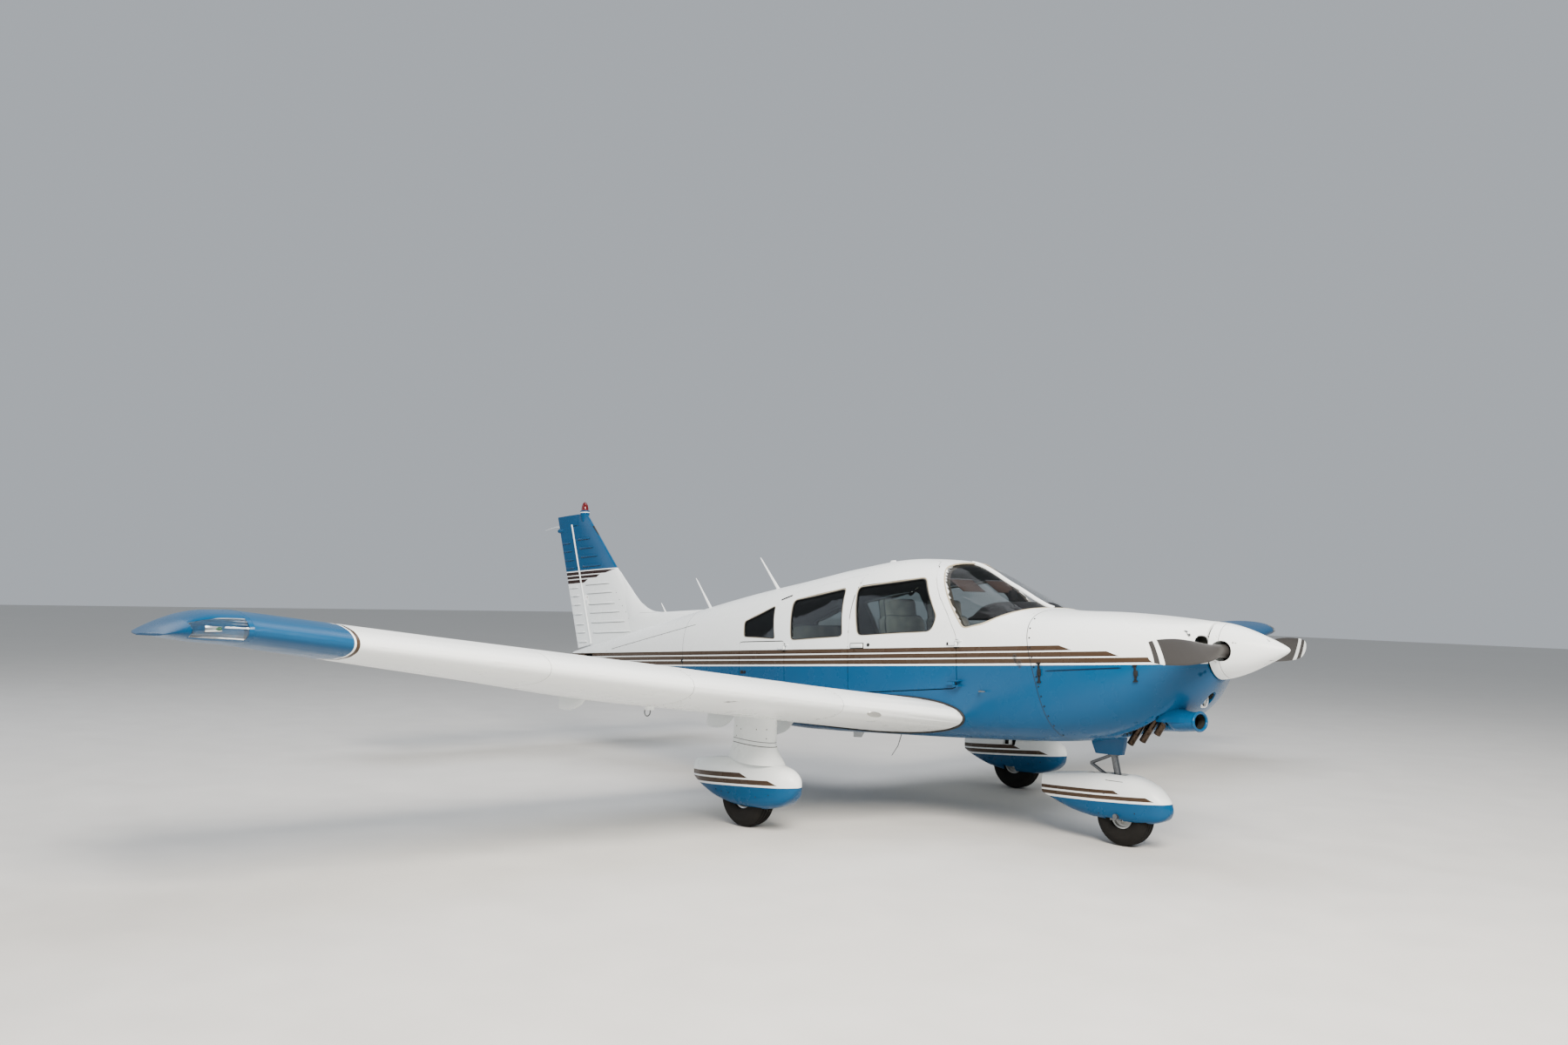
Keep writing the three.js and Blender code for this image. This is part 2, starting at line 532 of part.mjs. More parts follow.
// Box whose ends stand square to the dihedral, between two stations of the hinge line.
function spanBox(x0, x1, s0, s1) {
  const geometry = new THREE.BoxGeometry(x1 - x0, s1 - s0, 2000);
  geometry.translate((x0 + x1) / 2, (s0 + s1) / 2, 0);
  geometry.translate(0, 0, 700);
  geometry.rotateX(rad(DIHEDRAL));
  return solid(geometry);
}

function onLine(a, b, y) {
  const t = (y - a.y) / (b.y - a.y);
  return new THREE.Vector3().lerpVectors(a, b, t);
}

// A surface hinged to the wing's rear: its hinge line, radius of its nose and the two cuts.
function hingedSurface(a, b, radiusA, radiusB, s0, s1) {
  const [from, to] = [onLine(a, b, a.y - 60), onLine(a, b, b.y + 60)];
  return (margin) => {
    const nose = rod(from.toArray(), to.toArray(), radiusA + margin, 18, radiusB + margin);
    const plan = planPrism([[from.x, from.y], [to.x, to.y], [-900, to.y], [-900, from.y]], -400, 2200);
    return common(join(nose, plan), spanBox(-1000, 1400, s0 - margin * 1.2, s1 + margin * 1.2));
  };
}

const mainPanel = loft(wingRows.map((row) => wingRing(row)));
const flapRow = [wingAt(FLAP.y0), wingAt(FLAP.y1)];
const flapShare = (row) => (row.x - FLAP.hingeX) / row.chord;
const flapHinge = flapRow.map((row) => wingPoint(row, flapShare(row), -0.9));
const flapDepth = wingPoint(flapRow[0], flapShare(flapRow[0]), 1).z - flapHinge[0].z;
const flapRegion = hingedSurface(flapHinge[0], flapHinge[1], flapDepth, flapDepth,
  alongSpan(FLAP.y0, flapHinge[0].z), alongSpan(FLAP.y1, flapHinge[1].z));

const aileronRow = [wingAt(AILERON.y0), wingAt(AILERON.y1)];
const aileronHinge = aileronRow.map((row) => wingPoint(row, 1 - AILERON.share, 0));
const aileronRadius = aileronRow.map((row) => wingPoint(row, 1 - AILERON.share, 1).z
  - wingPoint(row, 1 - AILERON.share, 0).z + 2);
const aileronRegion = hingedSurface(aileronHinge[0], aileronHinge[1], aileronRadius[0], aileronRadius[1],
  alongSpan(AILERON.y0, aileronHinge[0].z), alongSpan(AILERON.y1, aileronHinge[1].z));

// Hinge fittings: an eye on the moving surface turns about a pin held by two cheeks on the wing.
// Each is drawn at the origin with the pin along Y, then laid along the hinge line at a station.
const PIN = { radius: 6, eye: 14, eyeHalf: 8, play: 0.5, cheekIn: 12, cheekOut: 18, notch: 24 };
function atHinge([from, to], y, made) {
  const geometry = geometryOf(made);
  geometry.applyQuaternion(new THREE.Quaternion().setFromUnitVectors(
    new THREE.Vector3(0, 1, 0), to.clone().sub(from).normalize()));
  geometry.translate(...onLine(from, to, y).toArray());
  return solid(geometry);
}
const pinBar = (half, radius, sides = 10) => rod([0, -half, 0], [0, half, 0], radius, sides);
const cheekPair = (reach) => join(
  box(-16, reach, -PIN.cheekOut, -PIN.cheekIn, -16, 22), box(-16, reach, PIN.cheekIn, PIN.cheekOut, -16, 22),
  pinBar(PIN.cheekOut, PIN.radius));
const eyeLug = join(pinBar(PIN.eyeHalf, PIN.eye, 14), box(-70, 0, -PIN.eyeHalf, PIN.eyeHalf, -12, 26));
const eyeBore = pinBar(PIN.notch, PIN.radius + PIN.play);
const eyeNotch = box(-28, 200, -PIN.notch, PIN.notch, -200, 200);

const bodySkin = bodyLoft(3400, TAIL_AFT_X, -2 * GAP);
const flapStations = [760, 2560];
const aileronStations = [2830, 4700];
const brackets = [...flapStations.map((y) => atHinge(flapHinge, y, cheekPair(120))),
  ...aileronStations.map((y) => atHinge(aileronHinge, y, cheekPair(80)))];
let wing = cut(mainPanel, flapRegion(RUN), aileronRegion(RUN), bodySkin);
// Tie-down and jack pad under the wing, with a flat foot
const PAD = { x: 960, y: 2520, z: 772, radius: 30 };
const pad = rod([PAD.x, PAD.y, PAD.z], [PAD.x, PAD.y, PAD.z + 60], PAD.radius, 16);
wing = join(wing, pad, ...brackets);
const movingSurface = (panel, hinge, stations) => stations.reduce((made, y) => cut(
  join(cut(made, atHinge(hinge, y, eyeNotch)), atHinge(hinge, y, eyeLug)), atHinge(hinge, y, eyeBore)), panel);
const flapSolid = movingSurface(common(mainPanel, flapRegion(0)), flapHinge, flapStations);
const aileronSolid = movingSurface(common(mainPanel, aileronRegion(0)), aileronHinge, aileronStations);

// Drooped tip: span station, leading edge set back, trailing edge set forward, thickness, drop.
const tipRows = [
  [TIP_Y + GAP, 0, 0, 1, 0], [5230, 22, 30, 0.98, 8], [5320, 75, 130, 0.86, 22],
  [5370, 150, 250, 0.62, 34], [SPAN_END_Y, 270, 410, 0.25, 46],
].map(([y, back, forward, slim, drop]) => {
  const base = wingAt(TIP_Y);
  const beyond = y - TIP_Y;
  const taper = (wingRows[2].x - wingRows[3].x) / (wingRows[3].y - wingRows[2].y);
  return wingRing({ y, x: base.x - beyond * taper - back, z: base.z + beyond * Math.tan(rad(DIHEDRAL)) - drop,
    chord: base.chord - beyond * 0.2 - back - forward, incidence: base.incidence, glove: 0 }, slim);
});
const tip = loft(tipRows);

for (const [suffix, twin] of [['left', (s) => s], ['right', mirrored]]) {
  place(`wing_${suffix}`, twin(wing), 'white');
  place(`wing_tip_${suffix}`, twin(tip), 'blue');
  place(`flap_${suffix}`, twin(flapSolid), 'white');
  place(`aileron_${suffix}`, twin(aileronSolid), 'white');
}

// Tail

// Fin and rudder as one symmetrical form: height, leading edge, trailing edge, thickness.
const tailRows = [
  [1100, -2000, -3293, 100], [1478, -2296, -3395, 92], [1914, -2677, -3512, 74],
  [2378, -3082, -3636, 56], [2476, -3168, -3662, 50],
];
const RUDDER = { low: [-3079, 1197], high: [-3402, 2392], bottomZ: 1197, bottomSlope: 0.142,
  hornZ: 2368, hornX: -3285 };
function symmetricRing(xLead, xTrail, thickness, height) {
  const chord = xLead - xTrail;
  const at = (s, side) => new THREE.Vector3(xLead - s * chord,
    side * (thickness * thicknessAt(s) + 2.5 * s), height);
  return [...chordSteps.map((s) => at(s, 1)), ...chordSteps.slice(1).reverse().map((s) => at(s, -1))];
}
const tailForm = loft(tailRows.map(([z, lead, trail, thick]) => symmetricRing(lead, trail, thick, z)));
const [rudderLow, rudderHigh] = [RUDDER.low, RUDDER.high].map(([x, z]) => new THREE.Vector3(x, 0, z));
const rudderAt = (z) => new THREE.Vector3().lerpVectors(rudderLow, rudderHigh,
  (z - rudderLow.z) / (rudderHigh.z - rudderLow.z));
const tailBox = (x0, x1, z0, z1) => box(x0, x1, -300, 300, z0, z1);
function rudderRegion(margin) {
  const [low, high] = [rudderAt(RUDDER.bottomZ - 40), rudderAt(RUDDER.hornZ + 20)];
  const nose = rod(low.toArray(), high.toArray(), 36 + margin, 16, 24 + margin);
  const aft = sidePrism([[low.x, low.z], [high.x, high.z], [-4200, high.z], [-4200, low.z]], -300, 300);
  const edge = (x) => RUDDER.bottomZ + (x - RUDDER.low[0]) * RUDDER.bottomSlope - margin;
  const above = sidePrism([[-4300, edge(-4300)], [-2000, edge(-2000)], [-2000, RUDDER.hornZ + 10],
    [-4300, RUDDER.hornZ + 10]], -300, 300);
  const below = common(join(nose, aft), above);
  return join(below, tailBox(-4300, RUDDER.hornX + margin, RUDDER.hornZ - margin, 2600));
}
// Dorsal fillet: station, top, half width at the foot.
const filletRows = [[-1338, 1479, 22], [-1600, 1478, 34], [-2000, 1474, 44], [-2120, 1484, 46],
  [-2230, 1522, 46], [-2330, 1580, 46], [-2410, 1650, 44], [-2480, 1721, 40], [-2560, 1798, 34],
  [-2640, 1878, 28]];
const fillet = loft(filletRows.map(([x, top, foot]) =>
  [[-foot, 1050], [foot, 1050], [foot * 0.45, top - 60], [6, top], [-6, top], [-foot * 0.45, top - 60]]
    .map(([y, z]) => new THREE.Vector3(x, y, z))));

const SPIGOT = { radius: 16, play: 1, top: 8 };
const pinBetween = (z0, z1, radius) => rod(rudderAt(z0).toArray(), rudderAt(z1).toArray(), radius, 12);
const tailSkin = bodyLoft(0, -3350, -2 * GAP);
const hingeZ = 1950;
const rudderHinge = rudderAt(hingeZ);
const hingeArm = join(box(rudderHinge.x - 12, rudderHinge.x + 60, -9, 9, hingeZ - 6, hingeZ + 6),
  pinBetween(hingeZ - 30, hingeZ + 30, SPIGOT.top));
const hingeSlot = box(rudderHinge.x - 26, rudderHinge.x + 80, -60, 60, hingeZ - 13, hingeZ + 13);
// The fin is hollow and open at its foot.
const finHollow = loft([[1280, -2450, -2900, 28], [2330, -3130, -3290, 14]].map(([z, front, rear, half]) =>
  [[front, -half], [front, half], [rear, half], [rear, -half]].map(([x, y]) => new THREE.Vector3(x, y, z))));
place('fin', join(cut(join(tailForm, fillet), rudderRegion(RUN), tailSkin, finHollow,
  pinBetween(RUDDER.bottomZ - 60, RUDDER.bottomZ + 60, SPIGOT.radius + RUN),
  box(-5000, -2900, -300, 300, 0, 1190)), hingeArm), 'white');
place('rudder', cut(join(common(tailForm, rudderRegion(0)),
  pinBetween(RUDDER.bottomZ - 50, RUDDER.bottomZ + 40, SPIGOT.radius)),
  hingeSlot, pinBetween(hingeZ - 36, hingeZ + 36, SPIGOT.top + SPIGOT.play)), 'white');
const BEACON_X = -3206;
place('beacon', turned([[0, 0], [0, 46], [29, 44], [29, 36], [84, 34], [106, 22], [118, 0]],
  'z', [BEACON_X, 0, 2476 + GAP], 16), 'redLens');

// Stabilator with its full-width tab, on a cross tube behind the tail bulkhead
const STAB = { pivot: [-3000, 1045], lead: -2800, chord: 762, thickness: 76, half: 1960, tabX: -3462,
  tabHalf: 1850, tube: 25 };
const stabRing = (y, back, slim) => {
  const chord = STAB.chord - back;
  const at = (s, side) => new THREE.Vector3(STAB.lead - back - s * chord, y,
    STAB.pivot[1] + side * (STAB.thickness * thicknessAt(s) * slim + 2.5 * s));
  return [...chordSteps.map((s) => at(s, 1)), ...chordSteps.slice(1).reverse().map((s) => at(s, -1))];
};
const stabForm = loft([stabRing(-STAB.half, 60, 0.3), stabRing(-STAB.half + 45, 10, 0.9),
  stabRing(-STAB.half + 90, 0, 1), stabRing(STAB.half - 90, 0, 1), stabRing(STAB.half - 45, 10, 0.9),
  stabRing(STAB.half, 60, 0.3)]);
const tabNose = 11.5;
const tabRegion = (margin) => join(
  rod([STAB.tabX, -STAB.tabHalf - margin, STAB.pivot[1]], [STAB.tabX, STAB.tabHalf + margin, STAB.pivot[1]],
    tabNose + margin, 16),
  box(-3700, STAB.tabX, -STAB.tabHalf - margin, STAB.tabHalf + margin, 900, 1200));
const centreHalf = 150;
const notchHalf = 100;
const crossTube = rod([STAB.pivot[0], -centreHalf - 20, STAB.pivot[1]],
  [STAB.pivot[0], centreHalf + 20, STAB.pivot[1]], STAB.tube, 16);
const earY = 40;
const ear = (y, margin = 0) => join(
  rod([STAB.pivot[0], y - 8 - margin, STAB.pivot[1]], [STAB.pivot[0], y + 8 + margin, STAB.pivot[1]],
    STAB.tube + 14 + margin, 16),
  box(STAB.pivot[0], TAIL_AFT_X + 5, y - 8 - margin, y + 8 + margin, STAB.pivot[1] - 30 - margin,
    STAB.pivot[1] + 30 + margin));
const tabPinY = [-1200, 1200];
const tabPins = tabPinY.map((y) =>
  rod([STAB.tabX, y - 14, STAB.pivot[1]], [STAB.tabX, y + 14, STAB.pivot[1]], 4, 8));
const tabCheeks = tabPinY.flatMap((y) => [-1, 1].map((side) =>
  box(STAB.tabX - 5, STAB.tabX + 30, y + side * 11 - 3, y + side * 11 + 3,
    STAB.pivot[1] - 8, STAB.pivot[1] + 8)));
// Each half is hollow, open through a hole in its root rib.
const stabHollow = [[-2845, 10], [-2880, 18], [-3030, 26], [-3200, 20], [-3330, 12], [-3400, 5]];
const stabOutline = [...stabHollow, ...stabHollow.map(([x, z]) => [x, -z]).reverse()]
  .map(([x, z]) => [x, STAB.pivot[1] + z]);
const stabSpaces = [[180, 1850], [-1850, -180]].map(([y0, y1]) => sidePrism(stabOutline, y0, y1));
const ribHoles = box(-2960, -2880, -200, 200, STAB.pivot[1] - 12, STAB.pivot[1] + 12);
const stabilator = join(
  cut(stabForm, tabRegion(5), ...stabSpaces, ribHoles,
    box(STAB.pivot[0] - 40, -2000, -centreHalf, centreHalf, 0, 2000),
    box(-3700, STAB.pivot[0] - 80, -notchHalf, notchHalf, 0, 2000)),
  crossTube, ...tabPins, ...tabCheeks);
place('stabilator', stabilator, 'white');
const tabCut = tabPinY.map((y) => box(STAB.tabX - 16, STAB.tabX + 100, y - 19, y + 19, 900, 1200));
const tabEyes = tabPinY.map((y) => join(
  rod([STAB.tabX, y - 5, STAB.pivot[1]], [STAB.tabX, y + 5, STAB.pivot[1]], 8.5, 12),
  box(STAB.tabX - 40, STAB.tabX, y - 5, y + 5, STAB.pivot[1] - 6, STAB.pivot[1] + 6)));
const tabBores = tabPinY.map((y) =>
  rod([STAB.tabX, y - 20, STAB.pivot[1]], [STAB.tabX, y + 20, STAB.pivot[1]], 4.5, 8));
const tabBody = cut(common(stabForm, tabRegion(0)), ...tabCut);
place('trim_tab', cut(join(tabBody, ...tabEyes), ...tabBores), 'white');

// Tail cone: a thin shell with a closed rear end, two ears for the stabilator's cross tube and a tail fairing
const earBore = rod([STAB.pivot[0], -100, STAB.pivot[1]], [STAB.pivot[0], 100, STAB.pivot[1]],
  STAB.tube + 0.8, 16);
const fairingUnder = 1106;
const TAIL_FOOT = { x0: -2890, x1: -2790, half: 15, z: 938 };
const TAIL_WALL = 14;
const tailFoot = box(TAIL_FOOT.x0, TAIL_FOOT.x1, -TAIL_FOOT.half, TAIL_FOOT.half, TAIL_FOOT.z, 1040);
const tailSpace = bodyLoft(CABIN_AFT_X + 10, TAIL_AFT_X + 60, TAIL_WALL);
place('tail_cone', cut(join(cut(bodyLoft(CABIN_AFT_X - GAP, TAIL_AFT_X), tailSpace),
  cut(tailFoot, tailSpace), ear(-earY), ear(earY)), earBore), 'white');
place('tail_fairing', cut(bodyLoft(TAIL_AFT_X - GAP, -3350),
  box(STAB.pivot[0] - 92, -2000, -500, 500, 0, fairingUnder),
  pinBetween(RUDDER.bottomZ - 60, RUDDER.bottomZ + 60, SPIGOT.radius + SPIGOT.play)), 'white');

// Landing gear, laid out on level ground and turned into the airframe

function wheelParts(tyre, at, axleRadius) {
  const { radius, width, rim } = tyre;
  const half = width / 2;
  const tyreShape = turned([
    [-half * 0.62, rim + 1], [-half, radius - 66], [-half * 0.82, radius - 16], [-half * 0.45, radius],
    [half * 0.45, radius], [half * 0.82, radius - 16], [half, radius - 66], [half * 0.62, rim + 1],
    [-half * 0.62, rim + 1],
  ], 'y', at, 20);
  const bore = axleRadius + 0.5;
  const rimShape = turned([
    [-half * 0.6, rim + 1 - GAP], [-half * 0.35, rim - 24], [-half * 0.62, bore + 20], [-half * 0.62, bore],
    [half * 0.62, bore], [half * 0.62, bore + 20], [half * 0.35, rim - 24], [half * 0.6, rim + 1 - GAP],
    [-half * 0.6, rim + 1 - GAP],
  ], 'y', at, 20);
  return { tyreShape, rimShape };
}

// Wheel fairing: station ahead of the axle, bottom, top, half width.
const mainFairingRows = [[478, 302, 334, 14], [440, 232, 388, 62], [350, 174, 426, 102], [195, 142, 446, 122],
  [0, 138, 450, 128], [-195, 162, 442, 122], [-380, 214, 420, 92], [-515, 264, 398, 44]];
const noseFairingRows = [[334, 250, 276, 12], [297, 200, 334, 62], [214, 170, 408, 98], [50, 158, 458, 118],
  [-125, 158, 458, 117], [-330, 178, 438, 92], [-510, 224, 414, 56], [-631, 262, 392, 24]];
function fairingLoft(rows, axleX, y, inset = 0) {
  return loft(rows.map(([ahead, low, high, half]) => {
    const ring = [];
    for (let i = 0; i < 16; i++) {
      const angle = ((i + 0.5) / 16) * 2 * Math.PI;
      const power = 2 / (Math.sin(angle) > 0 ? 2.5 : 4);
      ring.push(new THREE.Vector3(axleX + ahead,
        y + Math.sign(Math.cos(angle)) * Math.max(half - inset, 2) * Math.abs(Math.cos(angle)) ** power,
        (low + high) / 2 + Math.sign(Math.sin(angle)) * Math.max((high - low) / 2 - inset, 2)
          * Math.abs(Math.sin(angle)) ** power));
    }
    return ring;
  }));
}

// Main gear, port side
const wheelY = TRACK / 2;
const AXLE = 17;
const LEG_X = 792;
const mainAxle = [MAIN_AXLE_X, wheelY, MAIN_TYRE.radius];
const { tyreShape: mainTyre, rimShape: mainRim } = wheelParts(MAIN_TYRE, mainAxle, AXLE);
const legChord = 400;
const legRing = (z, chord, thick, y, margin = 0) => {
  const ring = [];
  const steps = [0, 0.04, 0.15, 0.32, 0.55, 0.8, 1];
  const at = (s, side) => new THREE.Vector3(LEG_X + (chord + 2 * margin) * (0.5 - s),
    y + side * (thick * thicknessAt(s) + 2 + margin), z);
  steps.forEach((s) => ring.push(at(s, 1)));
  steps.slice().reverse().forEach((s) => ring.push(at(s, -1)));
  return ring;
};
const wingShell = cut(mainPanel, bodySkin);
const legFairing = (margin) => loft([legRing(430 - margin, 520, 250, wheelY, margin),
  legRing(520, legChord + 20, 150, wheelY, margin), legRing(560, legChord, 120, wheelY, margin),
  legRing(1000, legChord, 120, wheelY, margin)]);
const strutY = wheelY - MAIN_TYRE.width / 2 - 22;
// The well is round over the tyre and square at the axle's ends.
const MAIN_WELL = { radius: 213, half: 86, axleHalf: 92, axleReach: 60, axleTop: 300 };
const wheelWell = join(
  rod([MAIN_AXLE_X, wheelY - MAIN_WELL.half, MAIN_TYRE.radius],
    [MAIN_AXLE_X, wheelY + MAIN_WELL.half, MAIN_TYRE.radius], MAIN_WELL.radius, 28),
  box(MAIN_AXLE_X - MAIN_WELL.radius, MAIN_AXLE_X + MAIN_WELL.radius, wheelY - MAIN_WELL.half,
    wheelY + MAIN_WELL.half, 0, MAIN_TYRE.radius),
  box(MAIN_AXLE_X - MAIN_WELL.axleReach, MAIN_AXLE_X + MAIN_WELL.axleReach, wheelY - MAIN_WELL.axleHalf,
    wheelY + MAIN_WELL.axleHalf, 0, MAIN_WELL.axleTop));
const mainFairing = cut(fairingLoft(mainFairingRows, MAIN_AXLE_X, wheelY), wheelWell,
  box(MAIN_AXLE_X - 60, MAIN_AXLE_X + 60, wheelY - 118, wheelY - 84, 0, 600), legFairing(GAP));
const strut = join(rod([MAIN_AXLE_X + 10, strutY, 600], [MAIN_AXLE_X, strutY, MAIN_TYRE.radius], 15, 14),
  rod([MAIN_AXLE_X, strutY - 14, MAIN_TYRE.radius],
    [MAIN_AXLE_X, wheelY + 91.5, MAIN_TYRE.radius], AXLE, 20));
const wingAbove = (() => {
  const geometry = geometryOf(wingShell);
  geometry.translate(0, 0, -GAP);
  return solid(geometry);
})();
const leg = cut(grounded(join(legFairing(0), strut)), wingShell, wingAbove,
  box(-5000, 5000, 0, 3000, 800, 3000));

for (const [suffix, twin] of [['left', (s) => s], ['right', mirrored]]) {
  place(`main_leg_${suffix}`, twin(leg), 'white');
  place(`main_fairing_${suffix}`, twin(grounded(mainFairing)), 'white');
  place(`main_tyre_${suffix}`, twin(grounded(mainTyre)), 'rubber');
  place(`main_rim_${suffix}`, twin(grounded(mainRim)), 'castAlloy');
}

// Nose gear: fixed strut, steered fork
const NOSE_AXLE = 12;
const { tyreShape: noseTyre, rimShape: noseRim } = wheelParts(NOSE_TYRE,
  [NOSE_AXLE_X, 0, NOSE_TYRE.radius], NOSE_AXLE);
const noseStrut = cut(rod(steerAt(600), steerAt(800), 40, 20), rod(steerAt(500), steerAt(760), 22.5, 20));
const crownZ = 392;
const NOSE_WELL = { half: 93.7, aft: 96, ahead: 32, radius: 194, tyreHalf: 78 };
const forkLeg = (side) => join(
  box(NOSE_AXLE_X - 60, NOSE_AXLE_X + 20, side > 0 ? 76 : -90, side > 0 ? 90 : -76,
    NOSE_TYRE.radius - 22, crownZ),
  rod([NOSE_AXLE_X, side * 75, NOSE_TYRE.radius],
    [NOSE_AXLE_X, side * NOSE_WELL.half, NOSE_TYRE.radius], 24, 12));
const link = (from, to) => rod(from, to, 11, 8);
const noseFork = join(
  forkLeg(-1), forkLeg(1),
  box(NOSE_AXLE_X - 90, NOSE_AXLE_X + 20, -90, 90, crownZ - 8, crownZ + 22),
  rod(steerAt(crownZ + 4), steerAt(740), 22, 20),
  rod(steerAt(560), steerAt(592), 34, 12),
  rod([NOSE_AXLE_X, -80, NOSE_TYRE.radius], [NOSE_AXLE_X, 80, NOSE_TYRE.radius], NOSE_AXLE, 16),
  link([steerAt(575)[0], 0, 575], [2430, 0, 500]),
  link([2430, 0, 500], [NOSE_AXLE_X - 80, 0, crownZ + 8]));
// Lugs that a tow bar grips, through both sides of the fairing
const TOW = { radius: 16, reach: 132 };
const towBar = (margin) => rod([NOSE_AXLE_X, -TOW.reach, NOSE_TYRE.radius + 10],
  [NOSE_AXLE_X, TOW.reach, NOSE_TYRE.radius + 10], TOW.radius + margin, 16);
const tyreRoom = box(NOSE_AXLE_X - 60, NOSE_AXLE_X + 60, -82, 82, 0, crownZ);
const noseForkSolid = join(noseFork, cut(towBar(0), tyreRoom));
const noseFairingSolid = cut(fairingLoft(noseFairingRows, NOSE_AXLE_X, 0), towBar(GAP),
  box(NOSE_AXLE_X - NOSE_WELL.aft, NOSE_AXLE_X + NOSE_WELL.ahead, -NOSE_WELL.half - GAP, NOSE_WELL.half + GAP,
    0, crownZ + 22 + GAP),
  rod([NOSE_AXLE_X, -NOSE_WELL.tyreHalf, NOSE_TYRE.radius],
    [NOSE_AXLE_X, NOSE_WELL.tyreHalf, NOSE_TYRE.radius], NOSE_WELL.radius, 28),
  box(NOSE_AXLE_X - NOSE_WELL.radius, NOSE_AXLE_X + NOSE_WELL.radius, -NOSE_WELL.tyreHalf, NOSE_WELL.tyreHalf,
    0, NOSE_TYRE.radius),
  box(NOSE_AXLE_X - 270, NOSE_AXLE_X + 30, -50, 50, 300, 600));
place('nose_strut', grounded(noseStrut), 'steel');
place('nose_fork', grounded(noseForkSolid), 'steel');
place('nose_fairing', grounded(noseFairingSolid), 'white');
place('nose_tyre', grounded(noseTyre), 'rubber');
place('nose_rim', grounded(noseRim), 'castAlloy');

// Cabin furniture

function seat(x, y, width, backTop, headrest) {
  const base = box(x, x + 470, y - width / 2, y + width / 2, 700, 870);
  const rails = [-1, 1].map((side) => {
    const railY = y + side * (width / 2 - 90);
    return box(x + 40, x + 420, railY - 20, railY + 20, FLOOR_Z + GAP, 705);
  });
  const back = sidePrism([[x - 10, 780], [x + 90, 860], [x - 20, backTop], [x - 110, backTop - 10],
    [x - 60, 800]], y - width / 2, y + width / 2);
  return headrest
    ? join(base, ...rails, back, box(x - 110, x - 30, y - 120, y + 120, backTop - 20, backTop + 130))
    : join(base, ...rails, back);
}
place('rear_bulkhead', bodyLoft(CABIN_AFT_X + 30, CABIN_AFT_X + 16, WALL + GAP), 'trim');
place('seat_front_left', seat(1110, 270, 470, 1360, true), 'fabric');
place('seat_front_right', seat(1110, -270, 470, 1360, true), 'fabric');
place('seat_rear', seat(60, 0, 820, 1320, false), 'fabric');

const cabinFill = common(bodyLoft(2600, CABIN_AFT_X, WALL + GAP), aftOfFirewall(-FIREWALL.thickness - 5));
const yoke = (y) => join(rod([1995, y, 1150], [1850, y, 1160], 12, 12),
  box(1840, 1862, y - 140, y + 140, 1145, 1175),
  ...[-1, 1].map((side) => box(1835, 1865, y + side * 130 - 16, y + side * 130 + 16, 1150, 1260)));
place('instrument_panel', join(
  common(cabinFill, join(box(1990, 2030, -600, 600, 985, 1310), box(1990, 2320, -600, 600, 1296, 1316))),
  yoke(265), yoke(-265)), 'trim');

export default aircraft;
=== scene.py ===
import json
import math

import bmesh
import bpy
from bpy.props import FloatProperty, FloatVectorProperty, PointerProperty, StringProperty
from mathutils import Matrix, Vector


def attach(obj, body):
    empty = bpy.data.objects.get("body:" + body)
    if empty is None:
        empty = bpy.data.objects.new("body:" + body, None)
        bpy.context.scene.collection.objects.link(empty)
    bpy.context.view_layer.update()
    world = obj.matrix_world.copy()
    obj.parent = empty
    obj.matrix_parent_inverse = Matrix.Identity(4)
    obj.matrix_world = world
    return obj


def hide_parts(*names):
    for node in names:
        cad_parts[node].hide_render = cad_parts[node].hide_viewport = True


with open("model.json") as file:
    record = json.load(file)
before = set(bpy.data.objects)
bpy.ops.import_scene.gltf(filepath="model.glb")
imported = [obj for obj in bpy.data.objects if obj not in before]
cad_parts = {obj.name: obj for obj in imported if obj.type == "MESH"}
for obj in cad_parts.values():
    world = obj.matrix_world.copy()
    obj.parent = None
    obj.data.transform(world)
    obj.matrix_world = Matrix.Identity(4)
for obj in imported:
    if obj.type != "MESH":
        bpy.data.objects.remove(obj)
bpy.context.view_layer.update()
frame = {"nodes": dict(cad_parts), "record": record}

bl_info = {
    "name": "Light aircraft dresser",
    "version": (1, 0, 0),
    "blender": (4, 5, 0),
    "location": "View3D > Sidebar > Aircraft",
    "description": "Dresses the packed frame of a low-wing, four-seat light aircraft and sets its studio stage",
    "category": "Object",
}

# The airframe is laid out level, in millimetres, and stands nose up on its wheels.
ATTITUDE = math.radians(3.4)
TO_ROW = Matrix.Rotation(-ATTITUDE, 4, "Y") @ Matrix.Scale(0.001, 4)
TO_LEVEL = TO_ROW.inverted()
TURN = Matrix.Rotation(-ATTITUDE, 3, "Y")
SIDES = ((1, "left"), (-1, "right"))


def linear(code):
    """An sRGB hex colour as the linear RGBA that a shader reads."""
    values = [int(code[i:i + 2], 16) / 255 for i in (1, 3, 5)]
    return [v / 12.92 if v <= 0.04045 else ((v + 0.055) / 1.055) ** 2.4 for v in values] + [1.0]


# Curves and sections

def bracket(stops, x):
    """Which gap between rising stops holds x, and how far along it x lies."""
    i = 0
    while i < len(stops) - 2 and x > stops[i + 1]:
        i += 1
    return i, (x - stops[i]) / (stops[i + 1] - stops[i])


def column(rows, i):
    """Pairs of each row's station and its value i."""
    return [(row[0], row[i]) for row in rows]


